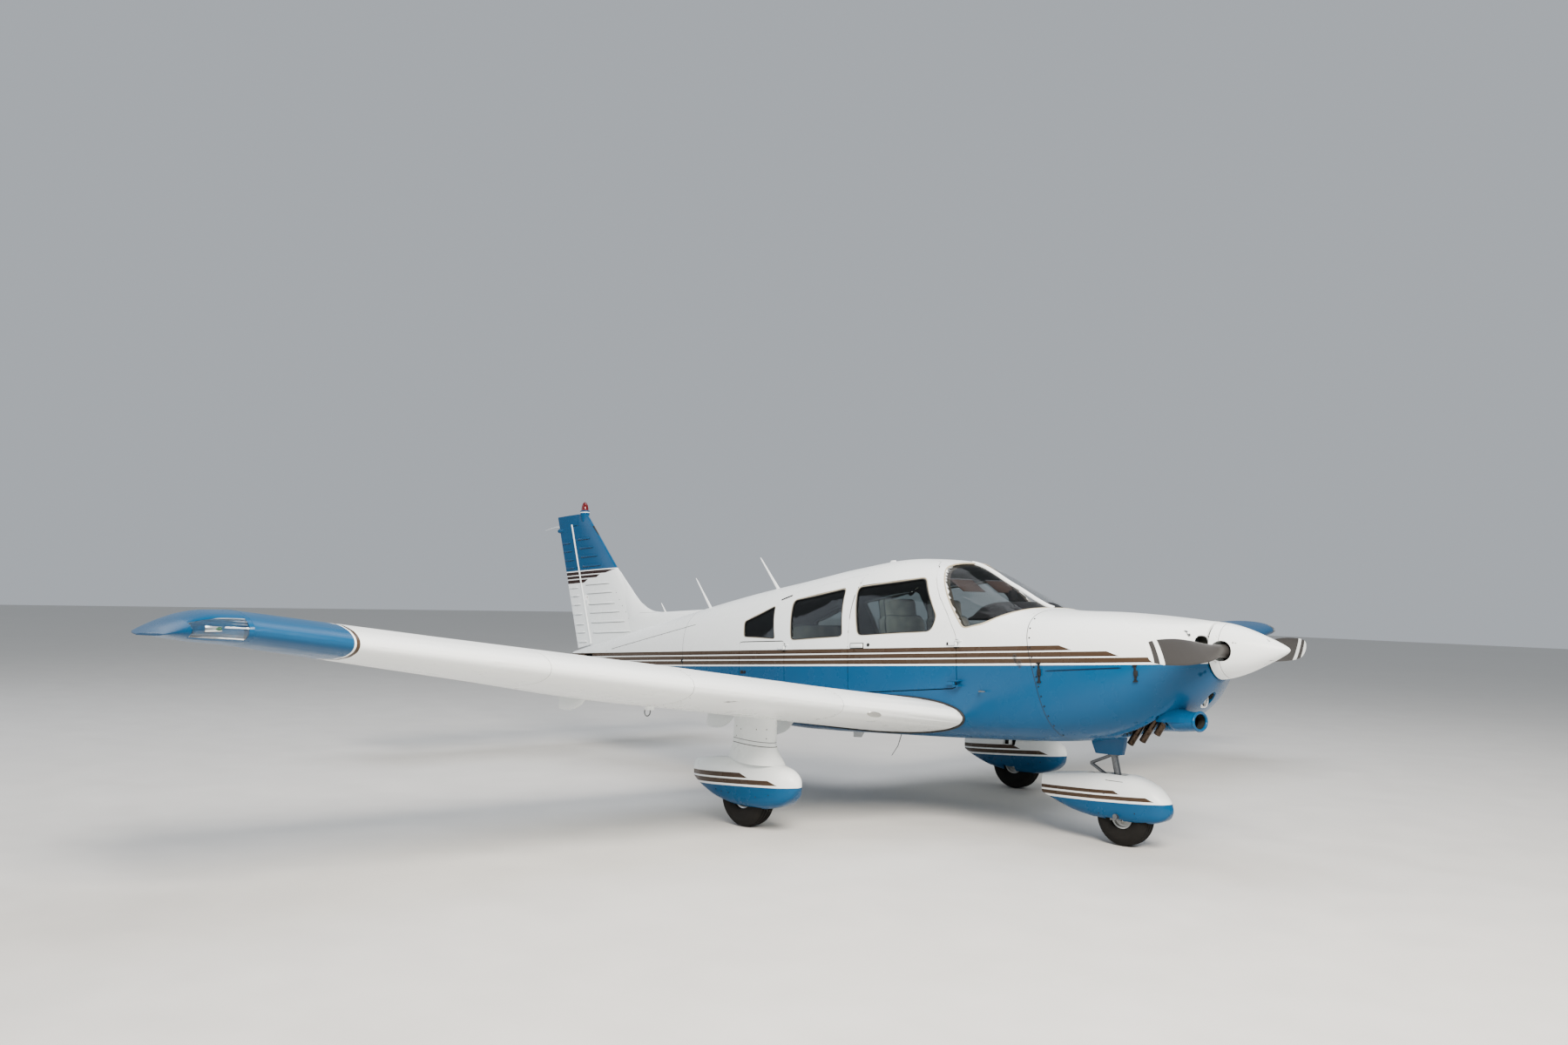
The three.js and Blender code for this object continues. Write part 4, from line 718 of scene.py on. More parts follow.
def finishes():
    """Every finish of the aircraft, made once for the colours that the panel holds."""
    if MAKE:
        return MAKE
    c = bpy.context.scene.aircraft_paint
    white, blue, stripe = c.white, c.blue, c.stripe
    MAKE["body"] = paint("white_and_blue_enamel", white, body_layers(c), [
        stroke(2512, 500, 2300, 1386, 5), stroke(-1163, 1343, -2556, 1148, 5), stroke(-1300, 724, -1300, 1500, 4)])
    # Dark lines just under each pressed bead of the fin and rudder: painted shadow of the beads.
    bead_shadow_lines = [stroke(rear, z - 10, front, z - 10, 4) for z, rear, front in FIN_BEADS]
    bead_shadow_lines += [stroke(rudder_edge_x(z), z - 9, hinge_x(z) - 62, z - 9, 4) for z in RUDDER_BEADS]
    MAKE["fin"] = paint("fin_enamel", white, fin_layers(c), bead_shadow_lines + [
        stroke(-3060, 2345, -2967, 2250, 11), stroke(-2080, 1478, -2296, 1478, 2)])
    MAKE["wing"] = paint("wing_enamel", white, [(blue, between(Y, 4650)), (stripe, between(Y, 4622, 4640))], [
        between(X, 1110, 1112.5) + between(Y, 700, 5100), between(X, 700, 702) + between(Y, 1000, 5000),
        between(Y, 1449, 1451.5) + between(X, 300), between(Y, 2690, 2692.5) + between(X, 300),
        between(Y, 3600, 3602) + between(X, 500)], gloss=0.27)
    MAKE["tip"] = paint("tip_enamel", blue)
    MAKE["tail"] = paint("tail_enamel", white, [], [
        between(Y, 1860, 1862), between(X, -3020, -3018) + between(Y, 140)])
    MAKE["main_fairing"] = paint("main_fairing_enamel", white, gear_layers(
        c, MAIN_AXLE[0], 0.0725, 275, [(362, 330.6, 798, 900), (319.7, 288.8, 1114, 1210)]),
        [stroke(568, 452, 1172, 478, 4)], tilted=False)
    MAKE["nose_fairing"] = paint("nose_fairing_enamel", white, gear_layers(
        c, NOSE_AXLE[0], 0.0602, 283, [(358, 335, 2665, 2714), (323.5, 298, 2917, 2979)]), tilted=False)
    MAKE["leg"] = paint("gear_leg_enamel", white, [], [
        stroke(500, 546, 1100, 546, 5), stroke(500, 574, 1100, 574, 4)], tilted=False)
    MAKE["spinner"] = paint("spinner_enamel", white, [], [stroke(3470, 800, 3470, 1400, 2.5)], gloss=0.2)
    # Blades: grey enamel, worn matt by grit, with a white band and a white tip.
    MAKE["blade"] = paint("blade_enamel", c.blade, [(white, between(Y, 862, 912)), (white, between(Y, 966))],
                          gloss=0.38)
    # Dark navy for the cowl's pressed groove: painted shade.
    MAKE["groove"] = paint("groove_enamel", "#02192f")
    MAKE["beacon_collar"] = paint("beacon_collar_enamel", blue, [
        (white, [above(BEACON[0], 2484), below(BEACON[0], 2492)])])
    MAKE["lining"] = mottled("moulded_cabin_lining", "#2a2824", "#3c3933", 4, 0.85, bump=0.3, ior=1.25)
    MAKE["glass"] = clear("tinted_acrylic_window", "#a3adae", "#bcc4c4", 0.02, ior=1.22)
    MAKE["screen"] = clear("clear_acrylic_windshield", "#070a0c", "#12181c", 0.015, 0.0, film=0.12)
    MAKE["lens"] = clear("clear_moulded_lens", "#eef4f4", "#ffffff", 0.02)
    MAKE["red_lens"] = clear("red_ribbed_lens", "#560307", "#780609", 0.12, 0.3)
    MAKE["green_lens"] = clear("green_glass_bulb", "#0c7a3c", "#2a9a58", 0.08, 0.6)
    MAKE["amber"] = mottled("brown_tinted_visor", "#241811", "#33231a", 30, 0.6, ior=1.2)
    # Natural rubber with carbon black, moulded, dusted grey by the apron.
    MAKE["tyre"] = mottled("tyre_rubber", "#0d0d0c", "#1b1917", 9, 0.85, bump=0.35, ior=1.3)
    MAKE["rim"] = mottled("cast_magnesium_alloy", "#a5a6a4", "#c9cac8", 3, 0.42, metal=0.85, bump=0.25)
    MAKE["chrome"] = mottled("hard_chromed_steel", "#c9ccd0", "#dfe2e5", 60, 0.16, metal=1.0, bump=0.03)
    MAKE["steel"] = mottled("plated_steel", "#5f6265", "#7d8083", 12, 0.42, metal=0.9, bump=0.12)
    # Black oxide on the fittings; the cabin air slots take it too, as painted shade of their openings.
    MAKE["dark"] = mottled("oxide_dipped_fitting", "#1a1a1b", "#2a2a2a", 8, 0.5, metal=0.3, bump=0.15, ior=1.25)
    MAKE["reflector"] = mottled("vapour_coated_reflector", "#dcdfe2", "#eff1f2", 40, 0.42, metal=0.55, bump=0.02)
    MAKE["rust"] = mottled("heat_stained_stainless", "#17110d", "#483d34", 16, 0.26, metal=0.97, bump=0.25,
                           depth=0.5, share=(0.36, 0.62))
    # Soot, and painted shade for the depth of the exhaust stacks and of the scoop's mouth.
    MAKE["soot"] = mottled("sooty_pipe_bore", "#060505", "#120f0d", 8, 0.95, ior=1.05)
    MAKE["seal"] = mottled("butyl_sealant", "#9f947c", "#b9ae96", 10, 0.6, bump=0.3)
    MAKE["black_seal"] = mottled("neoprene_strip", "#121212", "#201f1e", 6, 0.7, bump=0.3)
    MAKE["black"] = mottled("black_vinyl_cover", "#0b0b0c", "#161617", 3, 0.7, bump=0.4, ior=1.2)
    MAKE["panel"] = mottled("wrinkle_enamel_panel", "#161718", "#242526", 2.5, 0.7, bump=0.5, ior=1.2)
    MAKE["dial"] = mottled("dial_face", "#0a0a0b", "#161618", 3, 0.35)
    MAKE["engine"] = mottled("sand_cast_aluminium", "#6d7073", "#8c8f92", 5, 0.55, metal=0.7, bump=0.4)
    # Dark inner paint of the cowl, firewall and tail cone; also painted shade in the lower cowl's scoop bore and
    # exhaust hollow.
    MAKE["bulkhead"] = mottled("cowl_inner_paint", "#1b1c1a", "#2a2b28", 8, 0.8, bump=0.15, ior=1.2)
    MAKE["seat"] = woven("wool_blend_seat_cloth", "#5a5e60", "#84867f", 4.0)
    MAKE["piping"] = mottled("vinyl_seat_welt", "#2b3036", "#3c434a", 4, 0.5)
    MAKE["antenna"] = mottled("glass_fibre_whip", "#dfe2e2", "#eceeee", 8, 0.4)
    MAKE["floor"] = mottled("pale_studio_floor", "#c5c3bf", "#cccac6", 400, 0.75, bump=0.05)
    return MAKE


# Skins laid over the frame

def skin_piece(node, material, shift, limit, lining, depth=12.0):
    """A faired copy of a body node; faces that lie deeper than the skin take the lining's finish."""
    piece = fair_copy(node, material, shift, limit)
    piece.data.materials.append(lining)
    for face in piece.data.polygons:
        p = TO_LEVEL @ face.center
        y, z = p.y, p.z - middle_z(p.x)
        reach = max(math.hypot(y, z), 1.0)
        if reach < BODY_HULL.radius(p.x, y / reach, z / reach) * 0.999 - depth:
            face.material_index = 1
    return piece


def nose_limit(edge):
    """Finer towards the curved nose and tail."""
    x = (edge.verts[0].co.x + edge.verts[1].co.x) / 2
    return 0.028 if x > 2.9 else 0.05


def wing_limit(edge):
    a, b = (TO_LEVEL @ v.co for v in edge.verts)
    lead = min(abs(p.x - wing_row(abs(p.y))[1] - wing_row(abs(p.y))[5]) for p in (a, b))
    # Long edges that run out along the span stay long: the section's curve is what needs the points.
    return 0.03 if lead < 60 and abs(a.x - b.x) > 0.3 * abs(a.y - b.y) else 0.075


def polygon_scale(y, z, sides, offset):
    """How far a circle lies outside its inscribed polygon in a direction; offset is the first corner in steps."""
    step = 2 * math.pi / sides
    t = (math.atan2(z, y) / step - offset) % 1.0
    return math.cos((t - 0.5) * step) / math.cos(step / 2)


SCOOP = {"y": -200.0, "z": straight([(3110, 705), (3220, 655), (3352, 659)]),
         "wide": straight([(3110, 84), (3220, 90), (3352, 86)]),
         "high": straight([(3110, 58), (3220, 62), (3352, 58)])}
# Half width and height of the scoop's fillet by station, and middle, half width and height of its keel.
SCOOP_FILLET = [(3330, 83, 58), (3312, 86, 61), (3280, 90, 66), (3235, 95, 78), (3180, 98, 92), (3130, 92, 88),
                (3100, 70, 70)]
SCOOP_KEEL = [(3226, -196, 652, 86, 58), (3190, -180, 652, 86, 60), (3140, -150, 652, 78, 62),
              (3080, -124, 650, 66, 62), (3020, -108, 646, 54, 58), (2960, -100, 640, 40, 50), (2900, -96, 634, 20, 34)]
BOSS = {"x": 2545.0, "long": straight([(575, 128), (640, 142), (760, 150)]),
        "wide": straight([(575, 62), (640, 78), (760, 90)])}
# Hollow in the lower cowl that the exhaust stacks leave through: middle, half lengths, depth and rolled edge.
HOLLOW = {"x": 2985.0, "y": -206.0, "long": 165.0, "wide": 54.0, "deep": 78.0, "flare": 20.0}


def scoop_at(p):
    """A point's place across the scoop, 1 at its skin."""
    return (p.y - SCOOP["y"]) / SCOOP["wide"](p.x), (p.z - SCOOP["z"](p.x)) / SCOOP["high"](p.x)


def hollow_at(p):
    """A point's place along and across the hollow, 1 at its edge."""
    return (p.x - HOLLOW["x"]) / HOLLOW["long"], (p.y - HOLLOW["y"]) / HOLLOW["wide"]


def smooth(t):
    t = min(max(t, 0.0), 1.0)
    return t * t * (3 - 2 * t)


def hollowed(p):
    """Presses the hollow into a point of the smooth cowl and rolls its outboard edge outwards."""
    if p.z > 800 or p.y > 0:
        return p
    u, v = hollow_at(p)
    reach = (u ** 4 + v ** 4) ** 0.25
    rolled = HOLLOW["flare"] * smooth((1.9 - reach) / 0.7) * smooth((reach - 0.9) / 0.25) if v < 0 else 0.0
    return Vector((p.x, p.y - rolled, p.z - rolled * 0.35 + HOLLOW["deep"] * smooth((1.1 - reach) / 0.16)))


def cowl_limit(edge):
    """Finer still round the hollow."""
    p = TO_LEVEL @ edge.verts[0].co
    near = abs(p.x - HOLLOW["x"]) < 250 and -380 < p.y < -110 and p.z < 800
    return 0.015 if near else nose_limit(edge)


def cowl_shift(p):
    """The lower cowl with its scoop, the hollow for the exhaust and the boss over the nose strut."""
    mid = middle_z(p.x)
    reach = math.hypot(p.y, p.z - mid)
    proud = reach - BODY_HULL.facet_radius(p.x, p.y / max(reach, 1), (p.z - mid) / max(reach, 1))
    if proud > 2:
        u, v = scoop_at(p)
        if p.x > 2900 and math.hypot(u, v) < 1.05:
            k = polygon_scale(u, v, 16, 0) if math.hypot(u, v) > 0.8 else 1
            return Vector((p.x, SCOOP["y"] + (p.y - SCOOP["y"]) * k,
                           SCOOP["z"](p.x) + (p.z - SCOOP["z"](p.x)) * k))
        row = TURN @ p
        u, v = (row.x - BOSS["x"]) / BOSS["long"](row.z), row.y / BOSS["wide"](row.z)
        if abs(u) < 1.1 and 0.7 < math.hypot(u, v) < 1.05:
            k = polygon_scale(u, v, 12, 0.5)
            return TURN.inverted() @ Vector((BOSS["x"] + (row.x - BOSS["x"]) * k, row.y * k, row.z))
        return p
    return hollowed(BODY_HULL.shift(p))


# Wheel fairings, in the parked frame: station ahead of the axle, bottom, top, half width.
MAIN_FAIRING = [(478, 302, 334, 14), (440, 232, 388, 62), (350, 174, 426, 102), (195, 142, 446, 122),
                (0, 138, 450, 128), (-195, 162, 442, 122), (-380, 214, 420, 92), (-515, 264, 398, 44)]
NOSE_FAIRING = [(334, 250, 276, 12), (297, 200, 334, 62), (214, 170, 408, 98), (50, 158, 458, 118),
                (-125, 158, 458, 117), (-330, 178, 438, 92), (-510, 224, 414, 56), (-631, 262, 392, 24)]
MAIN_AXLE = (755, 1525, 205)
NOSE_AXLE = (2692, 0, 186)


def fairing_hull(rows, axle, side=0):
    return Hull([(axle[0] + a, low, high, (low + high) / 2, half, 4.0, 2.5) for a, low, high, half in rows], 16,
                side * axle[1])


def parked(shift):
    """Lets a shift that is laid out in the parked frame work on level millimetres."""
    back = TURN.inverted()
    return lambda p: back @ shift(TURN @ p)


LEG_THICK = [(430, 250), (520, 150), (560, 120), (1000, 120)]
LEG_CHORD = [(430, 520), (520, 420), (560, 400), (1000, 400)]
LEG_MIDDLE = 792


def leg_shift(side):
    flat, fair = straight(LEG_THICK), monotone([(400, 320)] + LEG_THICK[:3] + [(640, 118), (1000, 120)])
    chord = straight(LEG_CHORD)
    steps = [0, 0.04, 0.15, 0.32, 0.55, 0.8, 1]

    def shift(p):
        if p.z < 425:
            return p
        s = min(max(0.5 - (p.x - LEG_MIDDLE) / chord(p.z), 0.0), 1.0)
        i, t = bracket(steps, s)
        facet = flat(p.z) * (thickness(steps[i]) * (1 - t) + thickness(steps[i + 1]) * t) + 2
        middle = side * MAIN_AXLE[1]
        away = p.y - middle
        if facet < 1 or abs(away) > facet * 1.15:
            return p
        return Vector((p.x, middle + away * (fair(p.z) * thickness(s) + 2) / facet, p.z))
    return shift


# Station and height of the propeller's middle, and the spinner's radius by station.
HUB = (3484, 1083)
SPINNER = [(3412, 176), (3435, 174), (3495, 162), (3585, 134), (3685, 92), (3785, 44), (3837, 12), (3845, 0.5)]


def spinner_shift(p):
    flat, fair = straight(SPINNER), monotone(SPINNER)
    y, z = p.y, p.z - HUB[1]
    reach = math.hypot(y, z)
    edge = flat(p.x) / polygon_scale(z, y, 20, 0)
    if reach < 90 and p.x < 3560 or reach < edge * 0.93:
        return p
    k = fair(p.x) / max(edge, 1.0)
    return Vector((p.x, y * k, HUB[1] + z * k))


class AIRCRAFT_OT_body(bpy.types.Operator):
    """Fair skins over the cabin, cowl and tail cone, and the scoop's fillet and keel"""
    bl_idname = "aircraft.body"
    bl_label = "Body skins"

    def execute(self, context):
        make = finishes()
        for node in ("cabin_side_left", "cabin_side_right", "cabin_roof", "cabin_floor", "cabin_door",
                     "baggage_door"):
            skin_piece(node, make["body"], BODY_HULL.shift, nose_limit, make["lining"])
        for node in ("cowl_upper", "tail_cone", "tail_fairing", "firewall"):
            skin_piece(node, make["body"], BODY_HULL.shift, nose_limit, make["bulkhead"], depth=20)
        cowl = skin_piece("cowl_lower", make["body"], cowl_shift, cowl_limit, make["bulkhead"], depth=20)
        # The scoop's bore and the hollow over the exhaust stacks take the dark inner paint: painted shade in these
        # recesses.
        for face in cowl.data.polygons:
            p = TO_LEVEL @ face.center
            u, v = hollow_at(p)
            if p.x > 3110 and math.hypot(*scoop_at(p)) < 0.95 or p.z < 760 and u ** 4 + v ** 4 < 0.8:
                face.material_index = 1
        # Fillet that carries the scoop up into the chin, shaped like a saddle over the scoop's round back.
        bm = bmesh.new()
        rings = []
        half_turn = [k / 18 * math.pi for k in range(19)]
        for x, wide, high in SCOOP_FILLET:
            crest = [level(x, SCOOP["y"] + wide * math.cos(a), 655 + high * math.sin(a)) for a in half_turn]
            under = [level(x, SCOOP["y"] + 80 * math.cos(math.pi - a), 655 + 52 * math.sin(math.pi - a))
                     for a in half_turn[1:-1]]
            rings.append(crest + under)
        solid(bm, rings)
        finish(bm, "scoop_fillet", "airframe", make["body"], 50)
        # Keel that runs back from the scoop, inboard of the exhaust stacks.
        bm = bmesh.new()
        solid(bm, [oval(*row, 24) for row in SCOOP_KEEL])
        finish(bm, "scoop_keel", "airframe", make["body"], 50)
        return {"FINISHED"}


class AIRCRAFT_OT_glazing(bpy.types.Operator):
    """Panes on the body's fair curve"""
    bl_idname = "aircraft.glazing"
    bl_label = "Windows"

    def execute(self, context):
        make = finishes()
        fair_copy("windshield", make["screen"], BODY_HULL.shift, every(0.03))
        for node in ("window_front_left", "window_front_right", "window_rear_left", "window_rear_right",
                     "window_aft_left", "window_aft_right"):
            fair_copy(node, make["glass"], BODY_HULL.shift, every(0.04))
        return {"FINISHED"}


# Wing tip sections: span station, leading edge set back, trailing edge set forward, thickness, drop.
TIP = [(5110, 0, 0, 1, 0), (5230, 22, 30, 0.98, 8), (5320, 75, 130, 0.86, 22), (5370, 150, 250, 0.62, 34),
       (5400, 270, 410, 0.25, 46)]

TIP_BACK, TIP_FORWARD, TIP_SLIM, TIP_DROP = (monotone(column(TIP, i)) for i in (1, 2, 3, 4))
# Position light in a tip's leading edge: inner and outer span station, depth.
TIP_LAMP = (5132, 5342, 60)


TIP_JOINT = 5110.3
TIP_SLOPE = math.tan(math.radians(7))


def tip_row(y):
    inner, outer = WING[-2:]
    beyond = y - outer[0]
    edge = outer[1] - beyond * (inner[1] - outer[1]) / (outer[0] - inner[0])
    return (y, edge - TIP_BACK(y), outer[2] + beyond * TIP_SLOPE - TIP_DROP(y),
            outer[3] - beyond * 0.2 - TIP_BACK(y) - TIP_FORWARD(y), outer[4], 0)


class AIRCRAFT_OT_wings(bpy.types.Operator):
    """Fair wing, flap and aileron skins, and moulded tips with their position lights"""
    bl_idname = "aircraft.wings"
    bl_label = "Wings"

    def execute(self, context):
        make = finishes()
        for hand in ("left", "right"):
            fair_copy("wing_" + hand, make["wing"], wing_shift, wing_limit, 30)
            for node in ("flap_", "aileron_"):
                fair_copy(node + hand, make["wing"], wing_shift, every(0.09), 30)
        lamp_in, lamp_out, lamp_deep = TIP_LAMP
        shares = eased(22)
        spans = [TIP_JOINT + (TIP[-1][0] - TIP_JOINT) * math.sin(k / 14 * math.pi / 2) for k in range(15)]
        for hand, side, glow in (("left", 1, make["red_lens"]), ("right", -1, make["green_lens"])):
            bm = bmesh.new()
            rings = []
            for y in sorted(spans + [lamp_in - 0.5, lamp_in, lamp_out, lamp_out + 0.5]):
                row = tip_row(y)
                wall = row[1] - lamp_deep if lamp_in <= y <= lamp_out else row[1]
                points = [wing_point(row, s, 1, TIP_SLIM(y)) for s in shares]
                points += [wing_point(row, s, -1, TIP_SLIM(y)) for s in reversed(shares[1:])]
                rings.append([level(min(p.x, wall), side * p.y, p.z) for p in points])
            solid(bm, rings)
            finish(bm, "moulded_tip_" + hand, "airframe", make["tip"], 50, ("wing_tip_" + hand,))
            # Clear cover over the position light, on the leading edge's own curve.
            bm = bmesh.new()
            rings = []
            for k in range(9):
                y = lamp_in + 1 + (lamp_out - lamp_in - 2) * k / 8
                row = tip_row(y)
                deep = (lamp_deep - 2) / row[3]
                outer = [wing_point(row, deep * (j / 8) ** 2, face, TIP_SLIM(y)) for face, order in
                         ((1, range(8, 0, -1)), (-1, range(9))) for j in order]
                inner = [Vector((p.x - 2.5, y, row[2] + (p.z - row[2]) * 0.86)) for p in reversed(outer)]
                rings.append([level(p.x, side * y, p.z) for p in outer + inner])
            solid(bm, rings)
            finish(bm, "position_light_cover_" + hand, "airframe", make["lens"], 50)
            bm = bmesh.new()
            middle = (lamp_in + lamp_out) / 2
            row = tip_row(middle)
            seat = level(row[1] - lamp_deep + 1, side * middle, row[2] + 3)
            block(bm, basis(seat, TURN @ Vector((0, 1, 0)), FORWARD), (120, 30, 8), 3)
            finish(bm, "position_light_base_" + hand, "airframe", make["chrome"], 40)
            bm = bmesh.new()
            spin_profile(bm, [(2, 0.1), (2, 11), (16, 11), (24, 8), (28, 0.1)], seat, FORWARD, 20)
            finish(bm, "position_light_bulb_" + hand, "airframe", glow, 40)
        return {"FINISHED"}


class AIRCRAFT_OT_tail(bpy.types.Operator):
    """Fair fin, rudder and stabilator skins"""
    bl_idname = "aircraft.tail"
    bl_label = "Tail"

    def execute(self, context):
        make = finishes()
        for node, kind, shift, limit in (("fin", "fin", FIN_SHIFT, 0.05), ("rudder", "fin", FIN_SHIFT, 0.05),
                                         ("stabilator", "tail", STAB_SHIFT, 0.06),
                                         ("trim_tab", "tail", STAB_SHIFT, 0.09)):
            fair_copy(node, make[kind], shift, every(limit), 32)
        return {"FINISHED"}


def tyre(bm, axle, radius, width, rim, grooves):
    """Tubeless aircraft tyre: ribbed tread, rounded shoulders and a bulged sidewall, squashed a little where it
    stands."""
    half = width / 2
    centre = Vector(axle) / 1000
    profile = [(-half * 0.60, rim + 2), (-half * 0.80, rim + 8), (-half * 0.95, rim + 34), (-half, rim + 62),
               (-half * 0.97, radius - 40), (-half * 0.86, radius - 18), (-half * 0.68, radius - 6)]
    for place in grooves:
        profile += [(place * half - 4, radius - 0.5 - 5 * place * place), (place * half - 3, radius - 7),
                    (place * half + 3, radius - 7), (place * half + 4, radius - 0.5 - 5 * place * place)]
    profile += [(-a, r) for a, r in reversed(profile[:7])]
    spin_profile(bm, profile + [profile[0]], centre, Vector((0, 1, 0)), 72)
    for vert in bm.verts:
        vert.co.z = max(vert.co.z, 0.0005)


class AIRCRAFT_OT_wheels(bpy.types.Operator):
    """Tyres, and split rims with their bolt heads"""
    bl_idname = "aircraft.wheels"
    bl_label = "Wheels"

    def execute(self, context):
        make = finishes()
        x, y, z = MAIN_AXLE
        wheels = [("nose", "", NOSE_AXLE, 140, 74, 13), ("main", "_left", MAIN_AXLE, 160, 82, 18),
                  ("main", "_right", (x, -y, z), 160, 82, 18)]
        for kind, suffix, axle, width, rim, bore in wheels:
            body = kind + "_wheel" + suffix
            bm = bmesh.new()
            tyre(bm, axle, axle[2], width, rim, (-0.5, -0.18, 0.18, 0.5))
            finish(bm, body + "_tread", body, make["tyre"], 30, (kind + "_tyre" + suffix,))
            bm = bmesh.new()
            half = width / 2
            inner = bore + 1
            profile = [(-half * 0.62, inner), (-half * 0.62, inner + 16), (-half * 0.5, inner + 20),
                       (-half * 0.36, rim - 24), (-half * 0.4, rim - 12), (-half * 0.62, rim - 8),
                       (-half * 0.66, rim + 1), (-half * 0.6, rim + 2)]
            profile += [(-a, r) for a, r in reversed(profile)]
            spin_profile(bm, profile + [profile[0]], Vector(axle) / 1000, Vector((0, 1, 0)), 48)
            for side in (1, -1):
                for a in turns(6):
                    where = Vector(axle) + Vector((math.cos(a) * (rim - 32), side * half * 0.37,
                                                   math.sin(a) * (rim - 32)))
                    stud(bm, basis(where / 1000, Vector((1, 0, 0)), Vector((0, side, 0))), 6, 9, 6)
            finish(bm, body + "_rim", body, make["rim"], 30, (kind + "_rim" + suffix,))
        return {"FINISHED"}


class AIRCRAFT_OT_gear(bpy.types.Operator):
    """Wheel fairings, legs, nose strut and fork"""
    bl_idname = "aircraft.gear"
    bl_label = "Landing gear"

    def execute(self, context):
        make = finishes()
        for side, hand in SIDES:
            hull = fairing_hull(MAIN_FAIRING, MAIN_AXLE, side)
            fair_copy("main_fairing_" + hand, make["main_fairing"], parked(hull.shift), every(0.03), 40)
            fair_copy("main_leg_" + hand, make["leg"], parked(leg_shift(side)), every(0.05), 40)
        hull = fairing_hull(NOSE_FAIRING, NOSE_AXLE)
        fair_copy("nose_fairing", make["nose_fairing"], parked(hull.shift), every(0.03), 40)
        for node, kind in (("nose_strut", "rim"), ("nose_fork", "steel")):
            fair_copy(node, make[kind], None, None, 40)
        return {"FINISHED"}


# Blade sections: radius, chord, thickness, twist in degrees.
BLADE = [(40, 84, 84, 60), (200, 84, 80, 60), (290, 128, 52, 48), (400, 160, 34, 40), (600, 172, 24, 28),
         (800, 160, 17, 21), (940, 132, 12, 17), (1000, 90, 8, 15), (1016, 40, 5, 15)]


class AIRCRAFT_OT_propeller(bpy.types.Operator):
    """Two twisted blades, hub and spinner"""
    bl_idname = "aircraft.propeller"
    bl_label = "Propeller"

    def execute(self, context):
        make = finishes()
        chord, thick, twist = (monotone(column(BLADE, i)) for i in (1, 2, 3))
        bm = bmesh.new()
        for side in (1, -1):
            rings = []
            for k in range(40):
                r = 40 + 976 * (1 - (1 - k / 39) ** 1.25)
                turn = math.radians(twist(r))
                s, c = math.sin(turn) * side, math.cos(turn)
                ring = []
                for a in turns(28):
                    u, v = chord(r) / 2 * math.cos(a), thick(r) / 2 * math.sin(a)
                    ring.append(level(HUB[0] + u * s + v * c, side * r, HUB[1] + u * c - v * s))
                rings.append(ring)
            solid(bm, rings)
        spin_profile(bm, [(-70, 1), (-70, 74), (58, 74), (60, 70), (60, 1)], level(HUB[0], 0, HUB[1]), FORWARD, 40)
        finish(bm, "propeller_blades", "propeller", make["blade"], 40, ("propeller",))
        fair_copy("spinner", make["spinner"], spinner_shift, every(0.016), 35)
        return {"FINISHED"}


# How far the edges of a pad draw in between its corners, as a share, and how square its corners are.
PULL = 0.05
SQUARENESS = 7


def cushion(bm, middle, size, crown, lean):
    """A stuffed pad: every side swells, the edges draw in between the corners, and the corners round off."""
    bmesh.ops.create_cube(bm, size=2.0)
    bmesh.ops.subdivide_edges(bm, edges=bm.edges, cuts=9, use_grid_fill=True)
    for vert in bm.verts:
        u, v, w = vert.co
        reach = (abs(u) ** SQUARENESS + abs(v) ** SQUARENESS + abs(w) ** SQUARENESS) ** (1 / SQUARENESS)
        u, v, w = u / reach, v / reach, w / reach
        x = u * size[0] / 2 * (1 - PULL * (1 - v * v))
        y = v * size[1] / 2 * (1 - PULL * (1 - u * u))
        z = w * (size[2] / 2 + crown * (1 - u * u) * (1 - v * v))
        vert.co = Vector((x, y, z)) / 1000
    place = upright(*middle) @ Matrix.Rotation(math.radians(lean), 4, "Y")
    bmesh.ops.transform(bm, matrix=place, verts=bm.verts)
    return place


def welt(bm, place, size, height):
    """Sewn cord round a pad's edge."""
    path = []
    for a in turns(72):
        u, v = (math.copysign(abs(t) ** (2 / SQUARENESS), t) for t in (math.cos(a), math.sin(a)))
        path.append(place @ (Vector((u * size[0] / 2 * (1 - PULL * (1 - v * v)),
                                     v * size[1] / 2 * (1 - PULL * (1 - u * u)), height)) / 1000))
    sweep(bm, path, 0.005, 6, closed=True)


# Seats: name, middle across, station of the back, width, top of the back, and whether there is a headrest.
SEATS = [("front_left", 270, 1110, 460, 1360, True), ("front_right", -270, 1110, 460, 1360, True),
         ("rear", 0, 60, 800, 1310, False)]


